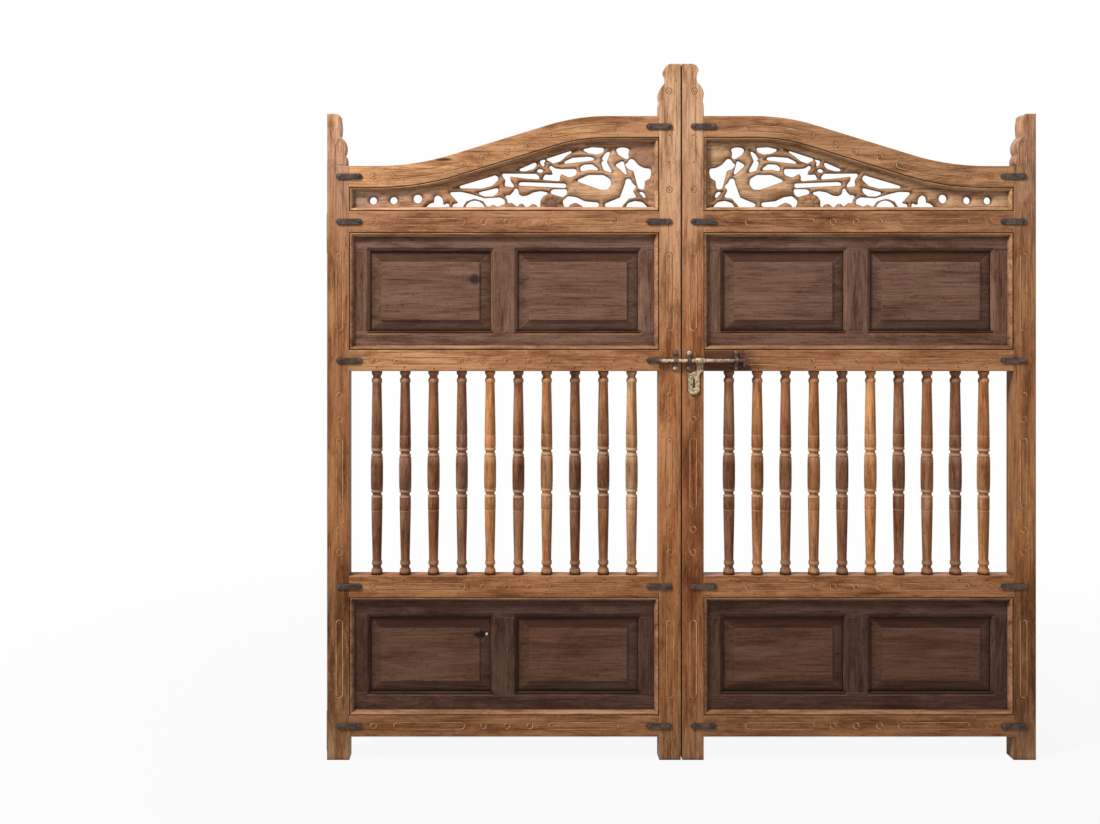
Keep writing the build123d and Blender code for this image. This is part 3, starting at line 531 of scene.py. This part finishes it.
# Turned balusters: pixel rows of the photograph, the widths seen there and how worn each ring is
turning_px = [
    (372.3, 10.6, 0.0), (373.2, 11.0, 0.3), (375.2, 10.9, 0.2), (376.2, 9.6, 0.0), (377.6, 8.0, 0.0),
    (379.2, 8.5, 0.0), (380.2, 10.2, 0.2), (381.8, 11.0, 0.4), (383.6, 10.5, 0.2), (384.7, 9.5, 0.0),
    (400, 10.2, 0.0), (420, 11.0, 0.0), (435.2, 11.6, 0.0), (436.0, 11.0, 0.6), (436.8, 11.6, 0.0),
    (447.3, 11.8, 0.0), (448.4, 10.7, 0.3), (449.0, 11.9, 0.8), (450.5, 12.0, 0.7), (451.3, 10.1, 0.2),
    (452.5, 9.2, 0.1), (453.7, 10.0, 0.4), (454.4, 11.7, 0.8), (455.7, 11.8, 0.6), (456.4, 10.8, 0.1),
    (457.2, 12.2, 0.2), (465, 12.7, 0.0), (481, 12.7, 0.0), (488.4, 12.3, 0.1), (489.2, 11.1, 0.3),
    (489.8, 12.2, 0.8), (491.2, 12.1, 0.6), (492.2, 9.9, 0.2), (493.8, 9.2, 0.1), (494.9, 10.0, 0.4),
    (495.5, 11.7, 0.8), (496.8, 11.8, 0.6), (497.4, 10.8, 0.1), (498.0, 11.6, 0.0), (509.3, 11.6, 0.0),
    (510.1, 10.9, 0.6), (510.9, 11.4, 0.0), (530, 10.6, 0.0), (545, 9.9, 0.0), (559.6, 9.2, 0.0),
    (560.5, 10.2, 0.2), (562.3, 10.8, 0.4), (564.0, 10.3, 0.2), (564.9, 8.7, 0.0), (566.2, 8.2, 0.0),
    (567.4, 9.0, 0.0), (568.5, 10.7, 0.2), (570.5, 11.6, 0.3), (573.8, 11.8, 0.1),
]
baluster_tones = {
    "left": "umber umber chestnut umber golden chestnut amber umber chestnut pale".split(),
    "right": "amber umber chestnut umber golden umber amber chestnut amber umber".split(),
}
turning_sides = 28
baluster_count = 10
slimmest_girth = 0.96
slip_px = 1.2


def turned_baluster(side, index):
    """One baluster turned to the photograph's profile, in place of its plainer solid."""
    node = f"{side}_baluster_{index:02d}"
    low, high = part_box(node)
    centre = (low + high) / 2
    top, bottom = turning_px[0][0], turning_px[-1][0]
    girth = chance.uniform(slimmest_girth, 1.0)
    slip = chance.uniform(-slip_px, slip_px) * pixel_m
    turns = [2 * math.pi * step / turning_sides for step in range(turning_sides)]
    points = []
    for row, width, worn in turning_px:
        share = (row - top) / (bottom - top)
        z = baluster_high_z - share * (baluster_high_z - baluster_low_z) + slip * math.sin(math.pi * share)
        radius = girth * width * pixel_m / 2
        points += [(centre.x + radius * math.cos(t), centre.y + radius * math.sin(t), z) for t in turns]
    faces = [tuple(range(turning_sides)), tuple(reversed(range(len(points) - turning_sides, len(points))))]
    for ring in range(len(turning_px) - 1):
        for step in range(turning_sides):
            a = ring * turning_sides + step
            b = ring * turning_sides + (step + 1) % turning_sides
            faces.append((a, a + turning_sides, b + turning_sides, b))
    shape = mesh_of(f"{side}_turned_baluster_{index:02d}", points, faces)
    wear = shape.attributes.new("worn", "FLOAT", "POINT")
    wear.data.foreach_set("value", [worn for row, width, worn in turning_px for turn in turns])
    tone = turned_wood[baluster_tones[side][index - 1]]
    made = piece(shape.name, shape, tone, f"{side}_leaf", smooth=True)
    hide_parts(node)


for side in SIDES:
    for index in range(1, baluster_count + 1):
        turned_baluster(side, index)

# The ogee of the top rail, worked out from its rise, run and slope
ogee_start_share = 0.09
ogee_end_share = 0.835
ogee_slope_share = 1.4
ogee_low_radius_share = 0.55
ogee_rise = top_rail_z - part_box("left_top_rail")[0].z - rail_height
ogee_x0 = opening_x0 + ogee_start_share * opening_width
ogee_x1 = opening_x0 + ogee_end_share * opening_width
ogee_run = ogee_x1 - ogee_x0
ogee_slope = ogee_slope_share * math.atan2(ogee_rise, ogee_run)
ogee_sum = (ogee_run * math.sin(ogee_slope) - ogee_rise * math.cos(ogee_slope)) / (1 - math.cos(ogee_slope))
ogee_low_radius = ogee_low_radius_share * ogee_sum
ogee_high_radius = ogee_sum - ogee_low_radius


def ogee(depth, steps=24):
    """Places along the top rail, hinge stile to meeting stile, at a depth below its upper edge."""
    turns = [ogee_slope * step / steps for step in range(steps + 1)]
    low_radius = ogee_low_radius + depth
    high_radius = ogee_high_radius - depth
    low_z = top_rail_z - ogee_rise + ogee_low_radius
    high_z = top_rail_z - ogee_high_radius
    rise = [(ogee_x0 + low_radius * math.sin(t), low_z - low_radius * math.cos(t)) for t in turns]
    crown = [(ogee_x1 - high_radius * math.sin(t), high_z + high_radius * math.cos(t)) for t in turns[::-1]]
    return [(opening_x0, top_rail_z - ogee_rise - depth), *rise, *crown, (opening_x1, top_rail_z - depth)]


# Sections of the planted beads from the frame inwards: width across and depth behind the face
front_bead = [
    (0.0, 0.0055), (0.0020, 0.0055), (0.0022, 0.0012), (0.0028, 0.0003), (0.0042, 0.0003), (0.0062, 0.0016),
    (0.0080, 0.0036), (0.0094, 0.0062), (0.0104, 0.0092), (0.0120, 0.0112), (0.0120, 0.0120),
]
panel_bead = [
    (0.0, -0.0002), (0.0014, 0.0002), (0.0028, 0.0013), (0.0040, 0.0030), (0.0047, 0.0050), (0.0050, 0.0062),
    (0.0050, 0.0098),
]
back_bead = [(0.0, -0.0002), (0.0095, -0.0002), (0.0120, 0.0025), (0.0120, 0.0100)]
least_mitre_cosine = 0.3


def inset(path, distance):
    """A closed path drawn in by a distance, its corners mitred."""
    moved = []
    for before, here, after in zip(path[-1:] + path[:-1], path, path[1:] + path[:1]):
        first = (Vector(here) - Vector(before)).normalized()
        second = (Vector(after) - Vector(here)).normalized()
        normal = Vector((-first.y - second.y, first.x + second.x)).normalized()
        reach = distance / max(least_mitre_cosine, normal.dot(Vector((-first.y, first.x))))
        moved.append((here[0] + normal.x * reach, here[1] + normal.y * reach))
    return moved


def bead_ring(path, section, face_y, inward):
    """Points and faces of one bead all round an opening."""
    points, faces = [], []
    count = len(path)
    for width, depth in section:
        points += [(x, face_y + inward * depth, z) for x, z in inset(path, width)]
    for ring in range(0, (len(section) - 1) * count, count):
        for step in range(count):
            after = (step + 1) % count
            face = (ring + step, ring + after, ring + count + after, ring + count + step)
            faces.append(face if inward > 0 else tuple(reversed(face)))
    return points, faces


def rectangle(low_z, high_z):
    """The corners of an opening between two levels."""
    return [(opening_x0, low_z), (opening_x1, low_z), (opening_x1, high_z), (opening_x0, high_z)]


opening_paths = [
    rectangle(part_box("left_bottom_rail")[1].z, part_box("left_spindle_rail")[0].z),
    rectangle(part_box("left_lock_rail")[1].z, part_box("left_frieze_rail")[0].z),
    [(opening_x0, frieze_z), (opening_x1, frieze_z), *reversed(ogee(rail_height))],
]
bead_rings = [bead_ring(path, front_bead, front_y, 1) for path in opening_paths]
bead_rings += [bead_ring(path, back_bead, back_y, -1) for path in opening_paths]
for side, sign in SIDES.items():
    shape = mesh_of(f"{side}_moulded_beads", *gather(bead_rings), sign < 0)
    made = piece(shape.name, shape, bead_wood, f"{side}_leaf")
    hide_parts(f"{side}_beads")


def front_edges(name, axis):
    """Where the front faces of a node begin and end along an axis."""
    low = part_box(name)[0]
    return sorted({round(v.co[axis], 5) for v in nodes[name].data.vertices if v.co.y < low.y + same_place})


# Small rounds on the inner arrises of the panel frames
for height in ("lower", "upper"):
    xs = front_edges(f"left_{height}_panel_stiles", ALONG_X)
    zs = front_edges(f"left_{height}_panel_rails", ALONG_Z)
    face_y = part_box(f"left_{height}_panel_rails")[0].y
    rounds = []
    for x0, x1 in (xs[1:3], xs[3:5]):
        bay = [(x0, zs[1]), (x1, zs[1]), (x1, zs[2]), (x0, zs[2])]
        rounds.append(bead_ring(bay, panel_bead, face_y, 1))
    for side, sign in SIDES.items():
        shape = mesh_of(f"{side}_{height}_panel_rounds", *gather(rounds), sign < 0)
        piece(shape.name, shape, round_wood[height], f"{side}_leaf")

# Carving of the frieze: grain size of its mesh, how its faces round off towards the piercings, and how little
# the normal of a piercing's wall points forwards
carving_voxel = 0.0020
carving_falloff = 0.006
carving_undercut = 0.001
carving_edge_share = 0.35
wall_normal = 0.5

# Rosettes cut into the board: their pixels, sizes in pixels, petals and depths, and the ring inside each
rosettes_px = [(643, 156, 15, 8, 0.0012), (552, 204, 13, 10, 0.003), (646, 188, 9, 7, 0.0012)]
ring_share = 0.4
ring_half_width = 0.5
ring_sharpness = 8
ring_cut = 200


def piercing_rims(solid):
    """Places round the piercings on the front of the frieze, without the outer edge of the board."""
    front = min(v.co.y for v in solid.verts)
    rim = set()
    for edge in solid.edges:
        in_front = all(abs(v.co.y - front) < same_place for v in edge.verts)
        if in_front and any(abs(face.normal.y) < wall_normal for face in edge.link_faces):
            rim.add(edge)
    loops = []
    while rim:
        loop = [rim.pop()]
        for edge in loop:
            joined = {other for v in edge.verts for other in v.link_edges if other in rim}
            rim -= joined
            loop += joined
        loops.append(loop)
    loops.remove(max(loops, key=lambda loop: sum(edge.calc_length() for edge in loop)))
    places = []
    for edge in (edge for loop in loops for edge in loop):
        start, end = (v.co for v in edge.verts)
        steps = max(1, int((end - start).length / carving_voxel))
        places += [start.lerp(end, step / steps) for step in range(steps)]
    return places


def carved_board():
    """The left frieze with its solid's piercings, worked in rounded relief on both faces."""
    work = bpy.data.objects.new("frieze_work", nodes["left_carved_frieze"].data.copy())
    bpy.context.scene.collection.objects.link(work)
    solid = bmesh.new()
    solid.from_mesh(work.data)
    bmesh.ops.remove_doubles(solid, verts=solid.verts, dist=same_place)
    places = piercing_rims(solid)
    solid.to_mesh(work.data)
    solid.free()
    remesh = work.modifiers.new("remesh", "REMESH")
    remesh.mode = "VOXEL"
    remesh.voxel_size = carving_voxel
    thinned = work.modifiers.new("thinned", "DISPLACE")
    thinned.mid_level = 0
    thinned.strength = -carving_undercut
    smooth = work.modifiers.new("smooth", "SMOOTH")
    smooth.factor = 0.5
    smooth.iterations = 8
    shape = bpy.data.meshes.new_from_object(work.evaluated_get(bpy.context.evaluated_depsgraph_get()))
    bpy.data.objects.remove(work)
    rims = kdtree.KDTree(len(places))
    for index, place in enumerate(places):
        rims.insert((place.x, 0, place.z), index)
    rims.balance()
    low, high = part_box("left_carved_frieze")
    middle = (low.y + high.y) / 2
    centres = [(*at(u, v), size * pixel_m, petals, deep) for u, v, size, petals, deep in rosettes_px]
    grime_and_rim_shade = []
    for vertex in shape.vertices:
        x, y, z = vertex.co
        for rosette_x, rosette_z, size, petals, deep in centres:
            reach = math.hypot(x - rosette_x, z - rosette_z) / size
            if reach < 1:
                turn = math.atan2(z - rosette_z, x - rosette_x)
                petal = reach * (0.5 + 0.5 * math.cos(petals * turn))
                ring = (ring_half_width - abs(reach - ring_share)) ** ring_sharpness * ring_cut
                vertex.co.y = y + math.copysign(deep * min(1, petal + ring), middle - y)
        fall = math.exp(-rims.find((vertex.co.x, 0, vertex.co.z))[2] / carving_falloff)
        vertex.co.y = middle + (vertex.co.y - middle) * (1 - (1 - carving_edge_share) * fall)
        # Darker near the piercings' rims: grime, and painted shade where the faces round off
        grime_and_rim_shade.append(fall ** 2)
    shape.attributes.new("grime_and_rim_shade", "FLOAT", "POINT").data.foreach_set("value", grime_and_rim_shade)
    return shape


left_carving = carved_board()
for side, sign in SIDES.items():
    shape = left_carving
    if sign < 0:
        shape = left_carving.copy()
        mirrored = bmesh.new()
        mirrored.from_mesh(shape)
        for vertex in mirrored.verts:
            vertex.co.x = -vertex.co.x
        bmesh.ops.reverse_faces(mirrored, faces=mirrored.faces)
        mirrored.to_mesh(shape)
        mirrored.free()
    shape.materials.clear()
    made = piece(f"{side}_carving", shape, frieze_wood, f"{side}_leaf", smooth=True)
    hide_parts(f"{side}_carved_frieze")


def ribbon(path, width, y):
    """A flat closed line of a width, laid at depth y."""
    outer, inner = inset(path, -width / 2), inset(path, width / 2)
    count = len(path)
    points = [(x, y, z) for x, z in outer + inner]
    faces = [(i, (i + 1) % count, count + (i + 1) % count, count + i) for i in range(count)]
    return points, faces


def circle(x, z, radius, steps=20):
    """A round outline."""
    turns = [2 * math.pi * step / steps for step in range(steps)]
    return [(x + radius * math.cos(t), z + radius * math.sin(t)) for t in turns]


def disc(x, z, radius, y):
    """A flat dot."""
    path = circle(x, z, radius, 12)
    return [(x, y, z) for x, z in path], [tuple(range(len(path)))]


def stadium(start, middle, end, radius, steps=8):
    """A long rounded outline from a start through a middle to an end."""
    along = (Vector(end) - Vector(start)).normalized()
    aside = Vector((-along.y, along.x)) * radius
    path = []
    for tip, side in ((end, 1), (start, -1)):
        base = math.atan2(tip[1] - middle[1], tip[0] - middle[0]) - math.pi / 2
        for step in range(steps + 1):
            turn = base + math.pi * step / steps
            path.append((tip[0] + radius * math.cos(turn), tip[1] + radius * math.sin(turn)))
        path.append((middle[0] + side * aside.x, middle[1] + side * aside.y))
    return path


# Incised ornament of the left leaf at its pixels: long outlines, ringed dots, plain dots and a pointed arch
rail_rows_px = [221.5, 361, 586.5, 725.5]
stile_columns_px = [339, 669.5]
long_lines_px = [((396.5, row), (429, row), (461, row)) for row in rail_rows_px]
long_lines_px += [((551.5, row), (583, row), (614, row)) for row in rail_rows_px]
for column in stile_columns_px:
    for top, low in ((256, 327), (441, 505), (623, 694)):
        long_lines_px.append(((column, top), (column, (top + low) / 2), (column, low)))
long_lines_px += [((395.5, 175.8), (430, 172), (463, 164.5)), ((551.5, 135.2), (582, 129.8), (614, 128))]
ringed_dots_px = [(u, row) for row in rail_rows_px for u in (373, 483, 506.5, 529.5)]
ringed_dots_px += [(column, row) for column in stile_columns_px for row in (395, 419, 529, 552)]
ringed_dots_px += [(669, 91), (669.5, 190), (373.3, 176.4), (482.5, 157.5), (508, 152), (527.5, 145)]
dots_px = [(669, 162), (669.5, 135), (339.5, 141.5)] + [(637, row) for row in rail_rows_px]
arch_px = [(337.4, 142), (336, 147), (336, 165), (344, 165), (344, 147), (342.6, 142), (340, 138.6)]
long_line_radius = 0.0088
ring_radius = 0.0080
line_width = 0.0018
dot_radius = 0.0021
line_offset_share = 0.35
groove_width_share = 0.8


def incised(path):
    """An incised outline as two painted lines: a pale one for the wall that light falls on, offset down and
    right, and a dark one for the wall in shade, offset up and left.
    """
    away = line_width * line_offset_share
    pale = ribbon([(x + away, z - away) for x, z in path], line_width, front_y - skin)
    groove_width = line_width * groove_width_share
    dark = ribbon([(x - away, z + away) for x, z in path], groove_width, front_y - 2 * skin)
    return pale, dark


outlines = [incised([at(*point) for point in arch_px])]
for line in long_lines_px:
    outlines.append(incised(stadium(*[at(*point) for point in line], long_line_radius)))
    dots_px += [line[0], line[-1]]
for point in ringed_dots_px:
    outlines.append(incised(circle(*at(*point), ring_radius)))
    dots_px.append(point)
# Pale lines are painted highlight and dark lines painted shade; the dots are dark too
lit_edges = [pale for pale, dark in outlines]
shaded_grooves_and_dots = [dark for pale, dark in outlines]
shaded_grooves_and_dots += [disc(*at(*point), dot_radius, front_y - skin) for point in dots_px]


def dome(x, y, z, radius, height, sides=14, rings=4):
    """A nail head: a low dome that stands out of the front."""
    points = [(x, y - height, z)]
    faces = []
    for ring in range(1, rings + 1):
        tilt = math.pi / 2 * ring / rings
        reach, lift = radius * math.sin(tilt), height * math.cos(tilt)
        for step in range(sides):
            turn = 2 * math.pi * step / sides
            points.append((x + reach * math.cos(turn), y - lift, z + reach * math.sin(turn)))
    for step in range(sides):
        after = (step + 1) % sides
        faces.append((0, 1 + step, 1 + after))
        for base in range(1, 1 + (rings - 1) * sides, sides):
            faces.append((base + step, base + sides + step, base + sides + after, base + after))
    return points, faces


# Nails: two in each strap and small ones over and under each baluster
strap_nail_reach = 0.026
strap_nail_radius = 0.004
strap_nail_height = 0.0022
rail_nail_radius = 0.0019
rail_nail_height = 0.0006
rail_nail_below = 0.012
rail_nail_above = 0.008
nail_scatter = 0.003
strap_places = []
for name in ("bottom_rail", "spindle_rail", "lock_rail", "frieze_rail"):
    middle_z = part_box(f"left_{name}")[1].z - rail_height / 2
    strap_places += [(opening_x0, middle_z), (opening_x1, middle_z)]
hinge_end_z = top_rail_z - ogee_rise - rail_height / 2
strap_places += [(opening_x0, hinge_end_z), (opening_x1, top_rail_z - rail_height / 2)]
bolt_strap = (opening_x1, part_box("left_lock_rail")[1].z - rail_height / 2)
rail_nails = []
for index in range(1, baluster_count + 1):
    middle_x = sum(corner.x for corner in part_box(f"left_baluster_{index:02d}")) / 2
    for z in (baluster_low_z - rail_nail_below, baluster_high_z + rail_nail_above):
        x = middle_x + chance.uniform(-nail_scatter, nail_scatter)
        nail_z = z + chance.uniform(-nail_scatter, nail_scatter)
        rail_nails.append(dome(x, front_y, nail_z, rail_nail_radius, rail_nail_height))
for side, sign in SIDES.items():
    strap_nails = []
    for x, z in strap_places:
        if side == "left" or (x, z) != bolt_strap:
            for reach in (-strap_nail_reach, strap_nail_reach):
                strap_nails.append(dome(x + reach, strap_y, z, strap_nail_radius, strap_nail_height))
    for name, parts, material, slot in (
        ("strap_nails", strap_nails, iron_metal, "iron"),
        ("rail_nails", rail_nails, nail_paint, "iron"),
        ("incised_lines", lit_edges, lit_edge_paint, "teak"),
        ("incised_grooves", shaded_grooves_and_dots, shaded_groove_paint, "teak"),
    ):
        shape = mesh_of(f"{side}_{name}", *gather(parts), sign < 0)
        piece(shape.name, shape, material, f"{side}_leaf", smooth=name.endswith("nails"))

# Nails of the bolt's keepers: dark heads, and heads that a pale crust has grown over
keeper_nail_reach = 0.0205
keeper_nail_height = 0.0034
keeper_foot = 0.0025
keeper_low, keeper_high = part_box("left_bolt_keeper")
right_low, right_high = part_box("right_bolt_keepers")
bolt_z = (keeper_low.z + keeper_high.z) / 2
half_keeper = (keeper_high.x - keeper_low.x) / 2
foot_y = front_y - keeper_foot
left_x, inner_x, outer_x = keeper_low.x + half_keeper, right_low.x + half_keeper, right_high.x - half_keeper
keeper_nails = [
    ("left_leaf", "dark", [(left_x, 1, 0.0072)]),
    ("left_leaf", "pale", [(left_x, -1, 0.0068)]),
    ("right_leaf", "dark", [(inner_x, -1, 0.0085), (outer_x, 1, 0.0066), (outer_x, -1, 0.0060)]),
    ("right_leaf", "pale", [(inner_x, 1, 0.0070)]),
]
for body, tone, heads in keeper_nails:
    parts = []
    for x, up, size in heads:
        parts.append(dome(x, foot_y, bolt_z + up * keeper_nail_reach, size, keeper_nail_height))
    shape = mesh_of(f"{body}_{tone}_keeper_nails", *gather(parts))
    piece(shape.name, shape, crust_metal if tone == "pale" else keeper_metal, body, smooth=True)


def seen_rays(tree):
    """A socket that is 1 for what the camera, a reflection or a refraction sees, and 0 for what lights."""
    rays = tree.nodes.new("ShaderNodeLightPath")
    seen = rays.outputs["Is Camera Ray"]
    for name in ("Is Glossy Ray", "Is Transmission Ray"):
        either = tree.nodes.new("ShaderNodeMath")
        either.operation = "MAXIMUM"
        tree.links.new(seen, either.inputs[0])
        tree.links.new(rays.outputs[name], either.inputs[1])
        seen = either.outputs[0]
    return seen


# The floor: white to the eye, with the gate's shadow near its feet, which fades out over a few metres
floor_reach = 40
floor_drop = 0.0005
floor_grey = 0.42
white_near_gate = 0.92
fade_reach = 4
fade_start_share = 0.25
fade_end_share = 0.8
floor_corners = [(-1, -1), (1, -1), (1, 1), (-1, 1)]
floor_points = [(floor_reach * x, floor_reach * y, 0) for x, y in floor_corners]
floor = bpy.data.objects.new("floor", mesh_of("floor", floor_points, [(0, 1, 2, 3)]))
floor.location.z = cad_low.z - floor_drop
bpy.context.scene.collection.objects.link(floor)
floor_shade = Shader("floor")
floor_shade.finish([floor_grey] * 3 + [1], roughness=0.9, specular=0.0)
glow = floor_shade.node("ShaderNodeEmission")
blend = floor_shade.node("ShaderNodeMixShader")
away = floor_shade.node("ShaderNodeVectorMath", operation="LENGTH")
floor_shade.put(away.inputs[0], floor_shade.place((1 / fade_reach, 1 / fade_reach, 0)))
white = floor_shade.ramp(away.outputs["Value"], (fade_start_share, white_near_gate), (fade_end_share, 1.0))
floor_shade.put(blend.inputs[0], floor_shade.maths("MULTIPLY", seen_rays(floor_shade.tree), white))
floor_shade.put(blend.inputs[1], floor_shade.surface.outputs[0])
floor_shade.put(blend.inputs[2], glow.outputs[0])
floor_shade.put(floor_shade.tree.nodes["Material Output"].inputs["Surface"], blend.outputs[0])
floor.data.materials.append(floor_shade.material)
floor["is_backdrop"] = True

# Soft studio light: a surround that is white to the eye and dimmer as a lamp, a key lamp and
# weak lamps in front and behind
surround_light = 0.18
world = bpy.data.worlds.new("studio")
bpy.context.scene.world = world
world.use_nodes = True
sky = world.node_tree.nodes["Background"]
sky.inputs["Color"].default_value = [1, 1, 1, 1]
strength = world.node_tree.nodes.new("ShaderNodeMapRange")
strength.inputs["To Min"].default_value = surround_light
strength.inputs["To Max"].default_value = 1.0
world.node_tree.links.new(seen_rays(world.node_tree), strength.inputs["Value"])
world.node_tree.links.new(strength.outputs[0], sky.inputs["Strength"])


def lamp(name, place, target, size, power):
    """A soft square lamp that looks at a target."""
    light = bpy.data.lights.new(name, "AREA")
    light.size = size
    light.energy = power
    made = bpy.data.objects.new(name, light)
    made.location = place
    made.rotation_euler = (Vector(target) - Vector(place)).to_track_quat("-Z", "Y").to_euler()
    bpy.context.scene.collection.objects.link(made)


lamp("key", (-2.7, -1.9, 4.8), (0, 0, 1.1), size=0.9, power=345)
lamp("fill", (1.6, -4.2, 1.6), (0, 0, 0.8), size=2.5, power=40)
lamp("back", (1.4, 4.4, 2.6), (0, 0, 1.0), size=3.0, power=55)

camera_data = bpy.data.cameras.new("camera")
camera_data.sensor_width = sensor_mm
camera_data.lens = camera_distance / pixel_m / photo_width * camera_data.sensor_width
camera_data.shift_x = (photo_width / 2 - principal_px[0]) / photo_width
camera_data.shift_y = (principal_px[1] - photo_height / 2) / photo_width
camera = bpy.data.objects.new("camera", camera_data)
camera_x, camera_z = at(*principal_px)
camera.location = (camera_x, front_y - camera_distance, camera_z)
camera.rotation_euler = (math.pi / 2, 0, 0)
bpy.context.scene.collection.objects.link(camera)
bpy.context.scene.camera = camera
bpy.context.scene.view_settings.view_transform = "Standard"

low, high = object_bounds()
